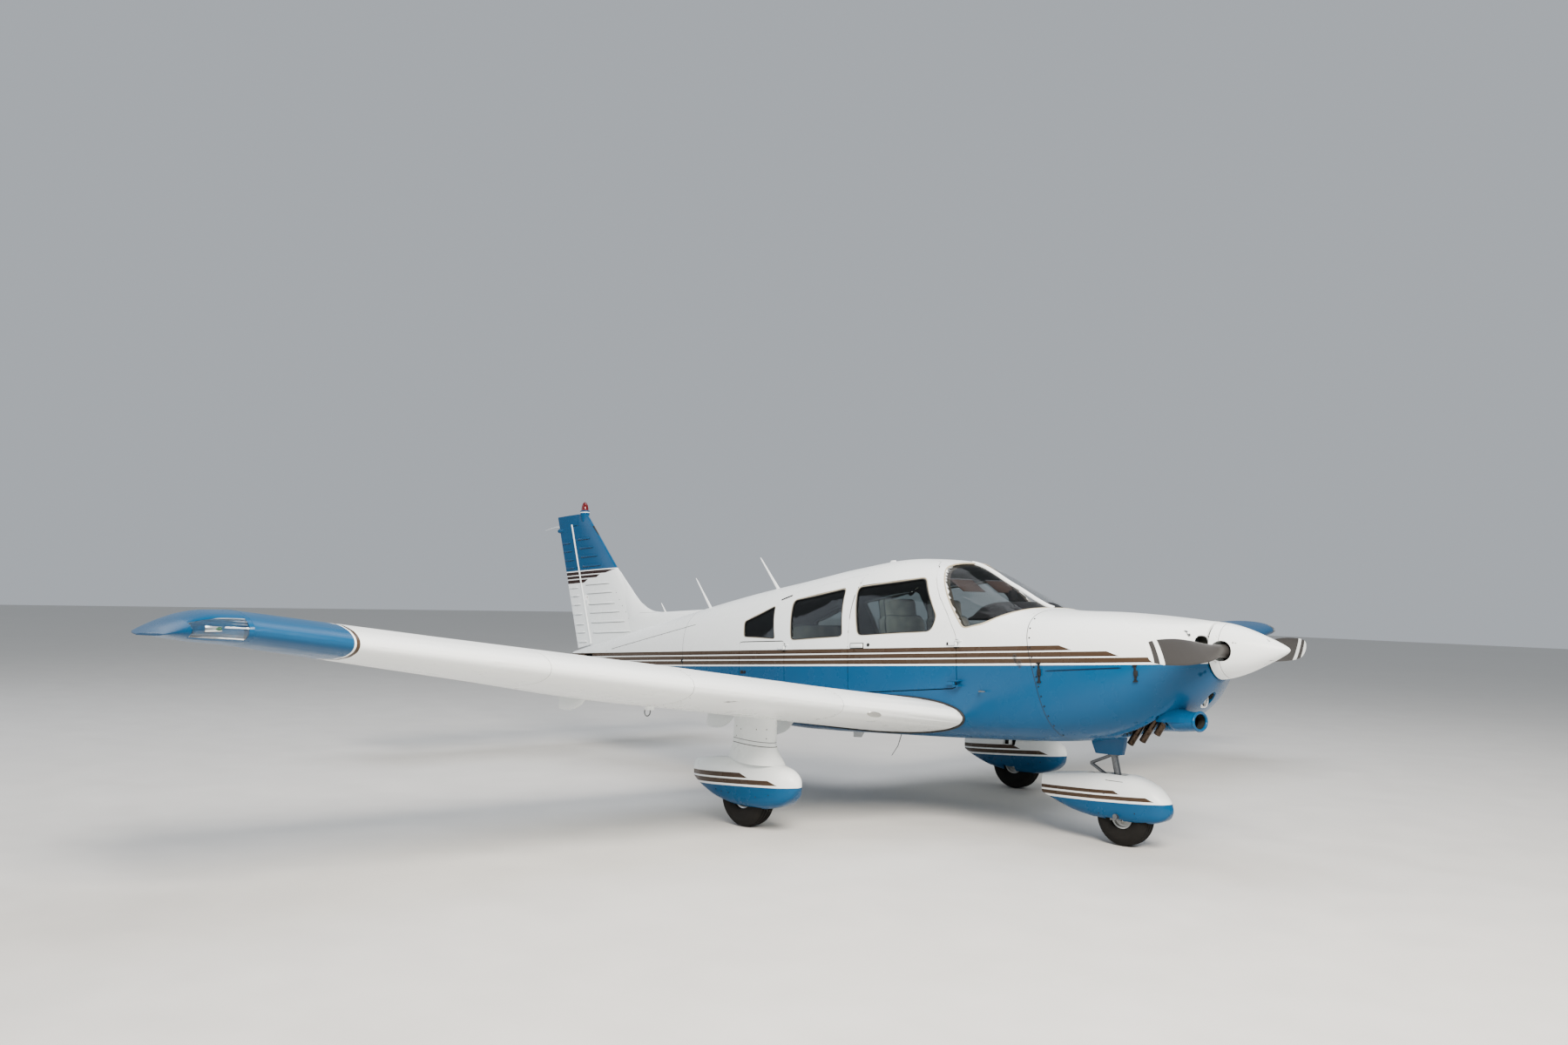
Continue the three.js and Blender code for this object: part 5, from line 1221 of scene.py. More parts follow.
class AIRCRAFT_OT_seats(bpy.types.Operator):
    """Seat cushions, backs and headrests in cloth with sewn welts"""
    bl_idname = "aircraft.seats"
    bl_label = "Seats"

    def execute(self, context):
        make = finishes()
        for name, y, x, width, top, rest in SEATS:
            high = top - 800
            pads = [("cushion", (x + 245, y, 800), (440, width, 130), 22, -3),
                    ("back", (x - 5, y, 800 + high / 2 + 10), (96, width - 10, high), 10, -9)]
            if rest:
                pads.append(("headrest", (x - 70, y, top + 36), (80, 360, 168), 10, -6))
            piping = bmesh.new()
            for kind, middle, (deep, wide, tall), crown, lean in pads:
                bm = bmesh.new()
                if kind == "cushion":
                    place = cushion(bm, middle, (deep, wide, tall), crown, lean)
                    welt(piping, place, (deep - 4, wide - 4), 44)
                else:
                    # Built lying down, then stood up, so that the crown swells forward.
                    place = cushion(bm, middle, (tall, wide, deep), crown, lean + 90)
                    for height in (deep * 0.3, -deep * 0.3):
                        welt(piping, place, (tall - 4, wide - 4), height)
                piece = finish(bm, "seat_" + name + "_" + kind, "airframe", make["seat"], 60)
                if kind == "cushion":
                    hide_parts("seat_" + name)
            finish(piping, "seat_" + name + "_welts", "airframe", make["piping"], 60)
            bm = bmesh.new()
            for side in (-1, 1):
                rail = y + side * (width / 2 - 90)
                block(bm, upright(x + 230, rail, 668), (380, 36, 130), 6)
                if rest:
                    sweep(bm, [level(x - 60, y + side * 60, top - 60), level(x - 72, y + side * 60, top + 20)], 0.006)
            finish(bm, "seat_" + name + "_rails", "airframe", make["steel"], 40)
        return {"FINISHED"}


# Trim and fittings

DOOR_WINDOW = [(884, 1216), (798, 1576), (1420, 1622), (1612, 1334), (1572, 1234)]
REAR_WINDOW = [(166, 1192), (106, 1504), (680, 1575), (737, 1212)]
AFT_WINDOW = [(-428, 1226), (-455, 1352), (-98, 1470), (-22, 1206)]
SCREEN_EDGE = [(1553, 1732), (1500, 1702), (1563, 1612), (1683, 1443), (1837, 1250), (1995, 1282), (2099, 1331),
               (2190, 1372), (2216, 1384)]


def rounded(corners, radius, closed=True):
    """Points along straight sides whose corners are turned on a curve."""
    points = []
    steps = 6
    count = len(corners)
    for i, corner in enumerate(corners):
        here = Vector(corner)
        if not closed and i in (0, count - 1):
            points.append(here)
            continue
        back = Vector(corners[i - 1]) - here
        on = Vector(corners[(i + 1) % count]) - here
        reach = min(radius, back.length / 2.1, on.length / 2.1)
        first, last = here + back.normalized() * reach, here + on.normalized() * reach
        for k in range(steps + 1):
            t = k / steps
            points.append(first * (1 - t) ** 2 + here * 2 * t * (1 - t) + last * t * t)
    return points


def spaced(points, step, closed):
    """The same line in even steps."""
    line = points + points[:1] if closed else points
    made = []
    for a, b in zip(line, line[1:]):
        count = max(1, round((b - a).length / step))
        made += [a + (b - a) * (k / count) for k in range(count)]
    return made if closed else made + [line[-1]]


def on_skin(points, side, proud):
    """Row points of a side-view line laid on the body's skin."""
    made = []
    for x, z in points:
        place = on_body(x, min(z, crown_z(x) - 1.5), side, proud)
        made.append(place.translation)
    return made


class AIRCRAFT_OT_seals(bpy.types.Operator):
    """Sealant round the windows, the windshield's rim and centre strip, and the strips at the wing roots"""
    bl_idname = "aircraft.seals"
    bl_label = "Seals"

    def execute(self, context):
        make = finishes()
        width = context.scene.aircraft_sizes.seal * 0.5
        for side, hand in SIDES:
            for name, corners, radius in (("front", DOOR_WINDOW, 45), ("rear", REAR_WINDOW, 40),
                                          ("aft", AFT_WINDOW, 25)):
                body = "cabin_door" if name == "front" and side < 0 else "airframe"
                line = spaced(rounded(corners, radius), 18, True)
                bm = bmesh.new()
                sweep(bm, on_skin(line, side, -5), width, 8, closed=True)
                finish(bm, "seal_" + name + "_" + hand, body, make["seal"])
                middle = sum((Vector(p) for p in corners), Vector((0, 0))) / len(corners)
                inner = [p + (middle - p).normalized() * 9 for p in line]
                bm = bmesh.new()
                sweep(bm, on_skin(inner, side, -4), 0.0045, 6, closed=True)
                finish(bm, "gasket_" + name + "_" + hand, body, make["black_seal"])
        bm = bmesh.new()
        edge = spaced(rounded(SCREEN_EDGE, 40, closed=False), 20, False)
        port, starboard = on_skin(edge, 1, -4), on_skin(edge, -1, -4)
        sweep(bm, port + list(reversed(starboard)), width * 1.15, 8, closed=True)
        finish(bm, "seal_windshield", "airframe", make["seal"])
        bm = bmesh.new()
        crown = [level(x, 0, crown_z(x) - 3) for x in range(1520, 2215, 22)]
        sweep(bm, crown, 0.015, 10, flat=0.35)
        finish(bm, "windshield_strip", "airframe", make["leg"])
        for side, hand in SIDES:
            bm = bmesh.new()
            path = []
            shares = eased(34)
            for face, order in ((1, reversed(shares)), (-1, shares[1:])):
                for s in order:
                    y = 520.0
                    for _ in range(14):
                        p = wing_point(wing_row(y), s, face)
                        y = max(BODY_HULL.side_y(min(p.x, 2300), p.z), 385.0)
                    p = wing_point(wing_row(y + 3), s, face)
                    path.append(level(p.x, side * (y + 3), p.z))
            sweep(bm, path, 0.011, 8)
            finish(bm, "wing_root_strip_" + hand, "airframe", make["black_seal"])
        return {"FINISHED"}


class AIRCRAFT_OT_cabin(bpy.types.Operator):
    """Instrument panel, shield, dials, compass and sun visors"""
    bl_idname = "aircraft.cabin"
    bl_label = "Cabin fittings"

    def execute(self, context):
        make = finishes()
        fair_copy("instrument_panel", make["panel"], None, None, 40)
        fair_copy("rear_bulkhead", make["lining"], None, None, 40)
        bm = bmesh.new()
        rings = []
        for k in range(10):
            x = 1828 + k * 43
            wide = BODY_HULL.side_y(x, 1318, 40) - 6
            ring = []
            for a in turns(40):
                y = wide * math.cos(a)
                # Padded top that swells up behind the windshield and stays clear of it.
                mid = middle_z(x)
                rise = crown_z(x) - mid
                skin = mid + rise * max(0.0, 1 - (abs(y) / BODY_HULL.fair["half"](x)) ** 2.8) ** (1 / 2.8)
                swell = 112 * math.sqrt(smooth((x - 1815) / 80)) * (1 - abs(math.cos(a)) ** 6)
                ring.append(level(x, y, min(1319 + swell, skin - 18) if math.sin(a) >= 0 else 1306))
            rings.append(ring)
        solid(bm, rings)
        finish(bm, "instrument_shield", "airframe", make["black"], 50)
        bm = bmesh.new()
        faces = bmesh.new()
        for z in (1235, 1143):
            for y in (173, -357, 265, -265, 357):
                middle = level(1988, y, z)
                spin_profile(bm, [(0, 33), (4, 41), (6, 40), (6, 34), (3, 33)], middle, -FORWARD, 24)
                spin_profile(faces, [(1, 0.1), (2, 33), (0, 33)], middle, -FORWARD, 20)
        for k in range(4):
            block(bm, upright(1986, 0, 1265 - k * 46), (12, 160, 38), 3)
        finish(bm, "instrument_bezels", "airframe", make["black"], 35)
        finish(faces, "instrument_dials", "airframe", make["dial"], 35)
        bm = bmesh.new()
        spin_profile(bm, [(-42, 1), (-42, 24), (-36, 30), (20, 32), (34, 26), (40, 1)], level(1868, 0, 1482),
                     UPWARD, 24)
        block(bm, upright(1848, 0, 1476), (20, 44, 30), 4)
        sweep(bm, [level(x, 0, z) for x, z in ((1868, 1505), (1872, 1520), (1880, 1540))], 0.006)
        finish(bm, "compass", "airframe", make["black"], 40)
        for side, hand in SIDES:
            bm = bmesh.new()
            place = basis(level(1630, side * 200, 1556), TURN @ Vector((0.8, 0, -0.6)), TURN @ Vector((0.6, 0, 0.8)))
            block(bm, place, (150, 250, 6), 3)
            finish(bm, "sun_visor_" + hand, "airframe", make["amber"], 40)
            bm = bmesh.new()
            sweep(bm, [level(1572, side * 80, 1602), level(1572, side * 318, 1602)], 0.005)
            finish(bm, "visor_rod_" + hand, "airframe", make["steel"], 40)
        return {"FINISHED"}


def whip(bm, foot, tip, base):
    """Tapered antenna on a small foot."""
    form = [(0, 2.3), (0.02, 1.6), (0.08, 1), (0.3, 0.8), (0.6, 0.58), (0.9, 0.42), (1.0, 0.2)]
    sweep(bm, [foot + (tip - foot) * t for t, _ in form], [base * share / 1000 for _, share in form], 10, 0.45)


class AIRCRAFT_OT_antennas(bpy.types.Operator):
    """Whips, receiver pad, probe, belly antenna and drain"""
    bl_idname = "aircraft.antennas"
    bl_label = "Antennas"

    def execute(self, context):
        make = finishes()
        bm = bmesh.new()
        for x0, z0, x1, z1, base in ((-474, 1606, -701, 1899, 13), (-1327, 1474, -1534, 1762, 12),
                                     (-1940, 1440, -2024, 1560, 9)):
            whip(bm, level(x0, 0, z0), level(x1, 0, z1), base)
        # Receiver pad on the roof: a teardrop block.
        solid(bm, [[level(775 + (46 - 8 * k) * math.cos(a), (34 - 7 * k) * math.sin(a), 1756 + 11 * k)
                    for a in turns(24)] for k in range(4)])
        finish(bm, "antennas", "airframe", make["antenna"], 45)
        bm = bmesh.new()
        solid(bm, [[level(395 + (70 - 9 * k) * math.cos(a) - 8 * k, (12 - 2 * k) * math.sin(a),
                          belly_z(395) + 4 - 22 * k) for a in turns(16)] for k in range(4)])
        finish(bm, "belly_antenna", "airframe", make["antenna"], 45)
        bm = bmesh.new()
        sweep(bm, [level(831, 0, belly_z(831) + 10), level(780, 0, 392), level(716, 0, 318)], [0.004, 0.003, 0.0025])
        stud(bm, basis(level(831, 0, belly_z(831)), FORWARD, -UPWARD), 16, 8, 16)
        # Air probe under the windshield, on its foot.
        foot = on_body(1990, 835, -1)
        sweep(bm, [foot @ Vector((x, 0, z)) for x, z in ((0, -0.004), (0.004, 0.022), (0.034, 0.032), (0.06, 0.033))],
              [0.007, 0.006, 0.0045, 0.004])
        finish(bm, "probe_and_drain", "airframe", make["steel"], 40)
        return {"FINISHED"}


def screws(bm, places, radius=3.6, height=1.8):
    for place in places:
        stud(bm, place, radius, height)


class AIRCRAFT_OT_hardware(bpy.types.Operator):
    """Handles, locks, straps, latches, screws, ports and vents on the body"""
    bl_idname = "aircraft.hardware"
    bl_label = "Body hardware"

    def execute(self, context):
        make = finishes()
        size = context.scene.aircraft_sizes.screw / 2 * 1000
        # Cabin door: recessed pull handle with its rim, key lock and hinge straps.
        bm = bmesh.new()
        place = on_body(887, 1145, -1, 1)
        block(bm, place, (124, 30, 10), 3.5, 3)
        block(bm, moved(place, 4, 0, 6), (98, 18, 10), 4, 3)
        finish(bm, "cabin_door_handle", "cabin_door", make["spinner"], 35)
        bm = bmesh.new()
        block(bm, place, (134, 40, 7), 3, 3)
        lock = on_body(999, 1150, -1)
        spin_profile(bm, [(-2, 13), (3, 13), (5, 11), (5, 5), (8, 4), (8, 0.1)], lock.translation,
                     lock.to_3x3() @ Vector((0, 0, 1)), 20)
        for height in (886, 1150):
            strap = on_body(1752, height, -1, 2)
            block(bm, strap, (78, 20, 6), 2)
            screws(bm, [moved(strap, dx, 0, 3) for dx in (-30, -12, 6)])
        finish(bm, "cabin_door_hardware", "cabin_door", make["dark"], 35)
        bm = bmesh.new()
        block(bm, on_body(-440, 950, -1, 1), (40, 26, 5), 3, 3)
        spin_profile(bm, [(-2, 12), (3, 12), (4, 0.1)], on_body(-400, 950, -1).translation, Vector((0, -1, 0)), 18)
        finish(bm, "baggage_door_latch", "baggage_door", make["dark"], 35)
        bm = bmesh.new()
        for side in (1, -1):
            # Cowl latches: a sprung strap over a hook, and the screws behind the cowl's rear edge.
            for x, z, tall in ((2448, 958, 118), (3077, 955, 96)):
                place = on_body(x, z, side, 3)
                block(bm, place, (14, tall, 5), 2)
                block(bm, moved(place, 4, 0, 5), (26, tall * 0.36, 9), 3)
                for end in (-0.5, 0.5):
                    sweep(bm, [place @ Vector((x, end * tall / 1000, 0.004)) for x in (-0.014, 0.014)], 0.005)
            fence = [on_body(2405 + (1018 - z) * 0.239, z, side, 0.5) for z in range(560, 1330, 62)]
            screws(bm, fence, size * 1.7, 4)
            spin_profile(bm, [(-1, 0.1), (0, 3), (2, 17), (0, 20), (-2, 20)], on_body(-1304, 1039, side).translation,
                         Vector((0, side, 0)), 20)
        finish(bm, "cowl_hardware", "airframe", make["dark"], 35)
        bm = bmesh.new()
        for side in (1, -1):
            # Cabin air outlet, a slot high on the side, drawn as a dark block: painted shade of its opening.
            block(bm, on_body(0, 1527, side, 2) @ Matrix.Rotation(math.radians(20), 4, "Z"), (118, 12, 6), 2.5)
        finish(bm, "cabin_air_slots", "airframe", make["dark"], 35)
        bm = bmesh.new()
        # Groove pressed into the lower cowl, just under the stripes, drawn as a dark navy tube: painted shade of the
        # groove.
        for side in (1, -1):
            path = [on_body(x, 968 + (x - 2486) * 0.038, side, -1.5).translation for x in range(2486, 3008, 26)]
            sweep(bm, path, [0.001] + [0.0045] * (len(path) - 2) + [0.001], 8)
        finish(bm, "cowl_grooves", "airframe", make["groove"], 35)
        return {"FINISHED"}


EXHAUST_Y = -215
LANDING_LIGHT = (3246, -12, 786)
# Cooling inlets: how far out, how high, and their radius.
INLET = (190, 1120, 62)


def tube(bm, path, outer, wall):
    """An open pipe, turned in at the end."""
    reach = (path[-1] - path[-2]).normalized()
    radii = [outer / 1000] * len(path)
    inner = (outer - wall) / 1000
    back = list(reversed(path))
    sweep(bm, path + [path[-1] + reach * 0.0006] + [back[0] + reach * 0.0005] + back[1:],
          radii + [(outer - wall * 0.4) / 1000] + [inner] + [inner] * (len(path) - 1), 20, capped=False)


class AIRCRAFT_OT_engine(bpy.types.Operator):
    """Exhaust stacks, landing light, and what shows through the cowl's openings"""
    bl_idname = "aircraft.engine"
    bl_label = "Engine and exhaust"

    def execute(self, context):
        make = finishes()
        bm, bores = bmesh.new(), bmesh.new()
        for x, z in ((3070, 574), (2968, 528), (2882, 508)):
            foot = level(x, EXHAUST_Y, z)
            way = level(x + 126, EXHAUST_Y, z + 178) - foot
            tube(bm, [foot + way * t for t in (1.0, 0.6, 0.3, 0.0)], 22, 2.5)
            # Black plug a little inside each stack's mouth: soot, and painted shade for the pipe's depth.
            spin_profile(bores, [(8, 0.1), (8, 19.3), (20, 19.3), (20, 0.1)], foot, way, 20)
        spin_profile(bm, [(-104, 1), (-104, 30), (176, 30), (176, 1)], level(3033, EXHAUST_Y, 714),
                     TURN @ Vector((0.904, 0, 0.428)), 20)
        spin_profile(bm, [(0, 1), (0, 26), (98, 26), (98, 1)], level(3030, EXHAUST_Y, 715), UPWARD, 18)
        finish(bm, "exhaust_stacks", "airframe", make["rust"], 40, ("exhaust",))
        finish(bores, "exhaust_bores", "airframe", make["soot"], 40)
        bm = bmesh.new()
        middle = level(*LANDING_LIGHT)
        spin_profile(bm, [(-2, 0.1), (-2, 53), (40, 53), (43, 52), (43, 46), (40, 45), (22, 41), (10, 29), (4, 14),
                          (2, 0.1)], middle, FORWARD, 40)
        spin_profile(bm, [(4, 0.1), (4, 7), (20, 7), (24, 5), (26, 0.1)], middle, FORWARD, 16)
        finish(bm, "landing_light_reflector", "airframe", make["reflector"], 30, ("landing_light",))
        bm = bmesh.new()
        spin_profile(bm, [(36, 0.1), (36, 44), (39, 44), (43, 38), (47, 22), (48, 0.1)], middle, FORWARD, 40)
        finish(bm, "landing_light_lens", "airframe", make["lens"], 30)
        block_finish = frame["nodes"]["engine_block"].data.materials
        block_finish.clear()
        block_finish.append(make["engine"])
        bm = bmesh.new()
        # Cooling fins of the front cylinders, seen through the inlets.
        for side in (1, -1):
            for k in range(9):
                spin_profile(bm, [(-1, 1), (-1, 78), (1, 78), (1, 1)], level(3180, side * (150 + k * 11), 1112),
                             Vector((0, side, 0)), 20)
        finish(bm, "cylinder_fins", "airframe", make["engine"], 30)
        bm = bmesh.new()
        # Rolled lips of the two cooling inlets.
        inlet_y, inlet_z, inlet_wide = INLET
        for side in (1, -1):
            path = []
            for a in turns(40):
                y, z = side * inlet_y + inlet_wide * math.cos(a), inlet_z + inlet_wide * math.sin(a)
                x = 3398.0
                for _ in range(40):
                    mid = middle_z(x)
                    reach = math.hypot(y, z - mid)
                    if reach <= BODY_HULL.radius(x, y / reach, (z - mid) / reach):
                        break
                    x -= 6
                path.append(level(x - 2, y, z))
            sweep(bm, path, 0.006, 8, closed=True)
        # The scoop's own lip.
        sweep(bm, oval(3352, SCOOP["y"], 659, 82, 54, 48), 0.0095, 12, closed=True)
        finish(bm, "cowl_inlet_lips", "airframe", make["body"], 40)
        bm = bmesh.new()
        # Dark disc just inside the scoop's mouth: painted shade for the depth of its bore.
        loops = loft(bm, [oval(3300, SCOOP["y"], 657, 78, 50, 32), oval(3297, SCOOP["y"], 657, 60, 36, 32)])
        cap(bm, loops[-1])
        finish(bm, "scoop_screen", "airframe", make["soot"], 40)
        return {"FINISHED"}


def fin_half(x, z):
    lead, trail, thick = (straight(column(FIN, i))(z) for i in (1, 2, 3))
    s = min(max((lead - x) / (lead - trail), 0.0), 1.0)
    return thick * thickness(s) + TAIL_EDGE * s


FIN_BEADS = [(2227, -3279, -3085), (2139, -3254, -3026), (2052, -3230, -2955), (1958, -3205, -2896),
             (1779, -3157, -2757), (1693, -3132, -2712), (1587, -3108, -2667), (1504, -3085, -2588),
             (1410, -3061, -2510), (1312, -3037, -2422)]
RUDDER_BEADS = [2203, 2122, 2033, 1954, 1755, 1675, 1589, 1495, 1395, 1316, 1224]


def hinge_x(z):
    """Station of the rudder's hinge line."""
    return -3079 - (z - 1197) * 0.2703


def rudder_edge_x(z):
    """Station where the rudder's creases end."""
    return -3277 - (z - 1197) * 0.222


BEACON = (-3206, 0, 2400)
TAIL_LIGHT = (-3612, 0, 2336)
FIN_SCREWS = [(-2648, 1679), (-2599, 1611), (-2550, 1552), (-2499, 1492), (-2453, 1430), (-2400, 1369),
              (-2357, 1307), (-2178, 1344), (-2099, 1356)]


# The dorsal fillet's height and the half width of its foot, by station.
FILLET_TOP = [(-2700, 1940), (-2640, 1880), (-2560, 1800), (-2480, 1723), (-2410, 1652), (-2330, 1582), (-2230, 1525),
              (-2120, 1489), (-2000, 1478), (-1600, 1481), (-1400, 1482), (-1330, 1481)]
FILLET_FOOT = [(-2700, 20), (-2560, 34), (-2440, 46), (-2330, 52), (-2120, 54), (-2000, 52), (-1600, 40), (-1330, 24)]


def fin_line(bm, x0, x1, z, side, radius):
    """A pressed bead that fades out at both ends."""
    count = 10
    path = [level(x0 + (x1 - x0) * k / count, side * fin_half(x0 + (x1 - x0) * k / count, z), z)
            for k in range(count + 1)]
    radii = [radius * 0.0002] + [radius * 0.001] * (count - 1) + [radius * 0.0002]
    sweep(bm, path, radii, 8)


class AIRCRAFT_OT_tail_fittings(bpy.types.Operator):
    """Beads of the fin and rudder, white strips of painted highlight along the rudder's gap, dorsal fillet, beacon,
    tail light, wick and screws
    """
    bl_idname = "aircraft.tail_fittings"
    bl_label = "Tail fittings"

    def execute(self, context):
        make = finishes()
        fixed, moving = bmesh.new(), bmesh.new()
        for side in (1, -1):
            for z, rear, front in FIN_BEADS:
                fin_line(fixed, rear - 6, front, z, side, 11)
            for z in RUDDER_BEADS:
                trail = straight(column(FIN, 2))(z)
                fin_line(moving, trail + 14, hinge_x(z) - 62, z, side, 10)
        finish(fixed, "fin_beads", "airframe", make["fin"], 50)
        finish(moving, "rudder_beads", "rudder", make["fin"], 50)
        # White strips over the gap in front of the rudder: painted highlight along the fin's rounded rear edge.
        bm = bmesh.new()
        for side in (1, -1):
            sweep(bm, [level(hinge_x(z) + 8, side * (fin_half(hinge_x(z) + 8, z) + 1), z)
                       for z in range(1200, 2381, 118)], 0.008, 8)
        finish(bm, "rudder_gap_strips", "airframe", make["spinner"], 50)
        # Fillet that sweeps the spine up into the fin's leading edge.
        bm = bmesh.new()
        top, foot = monotone(FILLET_TOP), monotone(FILLET_FOOT)
        rings = []
        for k in range(50):
            x = -2700 + k * 27.95
            low = max(crown_z(x) - 26, top(x) - 320)
            high = max(top(x), low + 20)
            ring = []
            # Side curve: splayed at the foot, upright and round over the top.
            for a in (math.pi * (i / 19) for i in range(20)):
                wide = 7 + (foot(x) - 7) * abs(math.cos(a)) ** 2.2
                ring.append(level(x, math.copysign(wide * min(1, abs(math.cos(a)) * 3), math.cos(a)),
                                  low + (high - low) * math.sin(a) ** 0.62))
            rings.append(ring)
        solid(bm, rings)
        finish(bm, "fin_fillet", "airframe", make["fin"], 60)
        bm = bmesh.new()
        foot = level(*BEACON)
        spin_profile(bm, [(0, 30), (30, 36), (66, 44), (92, 46), (104, 46), (108, 42), (108, 0.1)], foot, UPWARD, 40)
        finish(bm, "beacon_collar", "airframe", make["beacon_collar"], 35)
        bm = bmesh.new()
        profile = [(106, 38)]
        for k in range(9):
            a = k / 8 * math.pi / 2
            rib = 1 - k % 2
            profile.append((112 + 82 * math.sin(a) - 2 * rib, max(36 * math.cos(a) - 1.5 * rib, 0.1)))
        spin_profile(bm, profile, foot, UPWARD, 40)
        finish(bm, "beacon_dome", "airframe", make["red_lens"], 60, ("beacon",))
        # Tail light on the rudder's edge, and the wick that bleeds off static.
        for name, slot, kind, profile in (
                ("housing", "blue_paint", "fin", [(-64, 1), (-60, 12), (-30, 22), (10, 25), (30, 20), (36, 1)]),
                ("lens", "lamp_glass", "lens", [(36, 17), (44, 14), (52, 8), (54, 0.1)])):
            bm = bmesh.new()
            spin_profile(bm, profile, level(*TAIL_LIGHT), -FORWARD, 24)
            finish(bm, "tail_light_" + name, "rudder", make[kind], 50)
        bm = bmesh.new()
        sweep(bm, [level(-3640, 0, 2379), level(-3700, 0, 2383), level(-3880, 0, 2362)], [0.004, 0.0025, 0.0018], 8)
        finish(bm, "rudder_wick", "rudder", make["antenna"], 50)
        bm = bmesh.new()
        for side in (1, -1):
            for x, z in FIN_SCREWS:
                place = basis(level(x, side * fin_half(x, z), z), FORWARD, Vector((0, side, 0)))
                stud(bm, place, 4.5, 3)
            for x in range(-2880, -1200, 120):
                z = 1343 + (x + 1163) * 0.14
                stud(bm, on_body(x, z - 6, side), 3.4, 1.4, 6)
        finish(bm, "tail_screws", "airframe", make["dark"], 35)
        return {"FINISHED"}


class AIRCRAFT_OT_wing_fittings(bpy.types.Operator):
    """Fuel caps, tank rim screws, tie-down rings, hinge fairings and inspection plates"""
    bl_idname = "aircraft.wing_fittings"
    bl_label = "Wing fittings"

    def execute(self, context):
        make = finishes()
        size = context.scene.aircraft_sizes.screw / 2 * 1000
        for side, hand in SIDES:
            bm = bmesh.new()
            # Flush fuel cap on its round plate, and tank rim screws above and below.
            cap_place = on_wing(2230, 0.33, 1, 0.5, side)
            normal = cap_place.to_3x3() @ Vector((0, 0, 1))
            spin_profile(bm, [(-3, 62), (1, 62), (2, 58), (2, 44), (0, 43), (0, 40), (3, 38), (5, 30), (5, 0.1)],
                         cap_place.translation, normal, 40)
            block(bm, moved(cap_place, 0, 0, 7), (52, 10, 6), 3)
            for face in (1, -1):
                rows = [(y, s) for y in (1468, 2672) for s in (0.04, 0.09, 0.14, 0.19, 0.24, 0.28)]
                rows += [(y, 0.295) for y in range(1500, 2690, 60)]
                screws(bm, [on_wing(y, s, face, 0, side) for y, s in rows], size, 1.6)
            ring = on_wing(2520, 0.4, -1, 20, side)
            circle = [ring @ Vector((0, 0.022 * math.cos(a), 0.012 + 0.026 * math.sin(a))) for a in turns(20)]
            sweep(bm, circle, 0.004, 8, closed=True)
            finish(bm, "wing_hardware_" + hand, "airframe", make["steel"], 35)
            # Thin fairings over the flap's hinge brackets.
            bm = bmesh.new()
            for y, deep in ((790, 128), (1370, 118), (2640, 94)):
                rings = []
                for k in range(8):
                    t = k / 12
                    place = on_wing(y, 0.7 + (0.99 - 0.7) * t, -1, 0, side)
                    swell = math.sin(math.pi * min(t * 1.15, 1)) ** 0.6
                    rings.append([place @ Vector((0, (4 + 9 * swell) * math.cos(a) / 1000,
                                                  (deep * swell * math.sin(a) * 0.5 + deep * swell * 0.4 - 3) / 1000))
                                  for a in turns(14)])
                solid(bm, rings)
            finish(bm, "hinge_fairings_" + hand, "airframe", make["wing"], 50)
            # Oval inspection plate on the glove's leading edge.
            bm = bmesh.new()
            place = on_wing(1210, 0.014, -1, 0, side)
            bmesh.ops.create_cone(bm, cap_ends=True, segments=32, radius1=0.03, radius2=0.028, depth=0.005,
                                  matrix=place @ Matrix.Diagonal((0.8, 2.0, 1, 1)))
            finish(bm, "inspection_plate_" + hand, "airframe", make["rim"], 35)
        return {"FINISHED"}


class AIRCRAFT_OT_gear_fittings(bpy.types.Operator):
    """Screw heads of the wheel fairings and legs"""
    bl_idname = "aircraft.gear_fittings"
    bl_label = "Gear fittings"

    def execute(self, context):
        make = finishes()

        def head(x, y, z, face, tilt, radius, height):
            stud(bm, basis(Vector((x, y, z)) / 1000, Vector((1, 0, 0)), Vector((0, face, tilt))), radius, height)

        bm = bmesh.new()
        for side in (1, -1):
            hull = fairing_hull(MAIN_FAIRING, MAIN_AXLE, side)
            middle = side * MAIN_AXLE[1]
            for face in (1, -1):
                for x, z in ((560, 230), (620, 224), (690, 222), (950, 226), (1060, 250), (700, 462), (900, 470)):
                    head(x, middle + face * hull.side_y(x, z), z, face, (z - 300) / 300, 5, 2.5)
                for x, z in ((640, 590), (700, 640), (880, 655), (960, 600), (640, 655), (960, 660)):
                    s = 0.5 - (x - LEG_MIDDLE) / 400
                    half = 120 * thickness(min(max(s, 0), 1)) + 2
                    head(x, middle + face * half, z, face, 0, 4.5, 2)
        finish(bm, "main_gear_screws", "airframe", make["dark"], 35)
        bm = bmesh.new()
        hull = fairing_hull(NOSE_FAIRING, NOSE_AXLE)
        for face in (1, -1):
            for x, z in ((2560, 200), (2600, 330), (2820, 230), (2480, 300)):
                head(x, face * hull.side_y(x, z), z, face, 0.1, 5, 2.5)
        finish(bm, "nose_gear_screws", "nose_steering", make["dark"], 35)
        return {"FINISHED"}


# Stage, in metres: half the floor's side, and each light's place, aim, size and tint.
FLOOR_HALF = 60
SOFTBOXES = [("key", (9, -6, 8), (0.5, 0, 0.8), 5, "#fff7ec"), ("fill", (-9, -9, 6), (0, 0, 0.8), 7, "#e9f1ff"),
             ("top", (0, 2, 11), (0, 0, 0), 9, "#f4f8ff")]


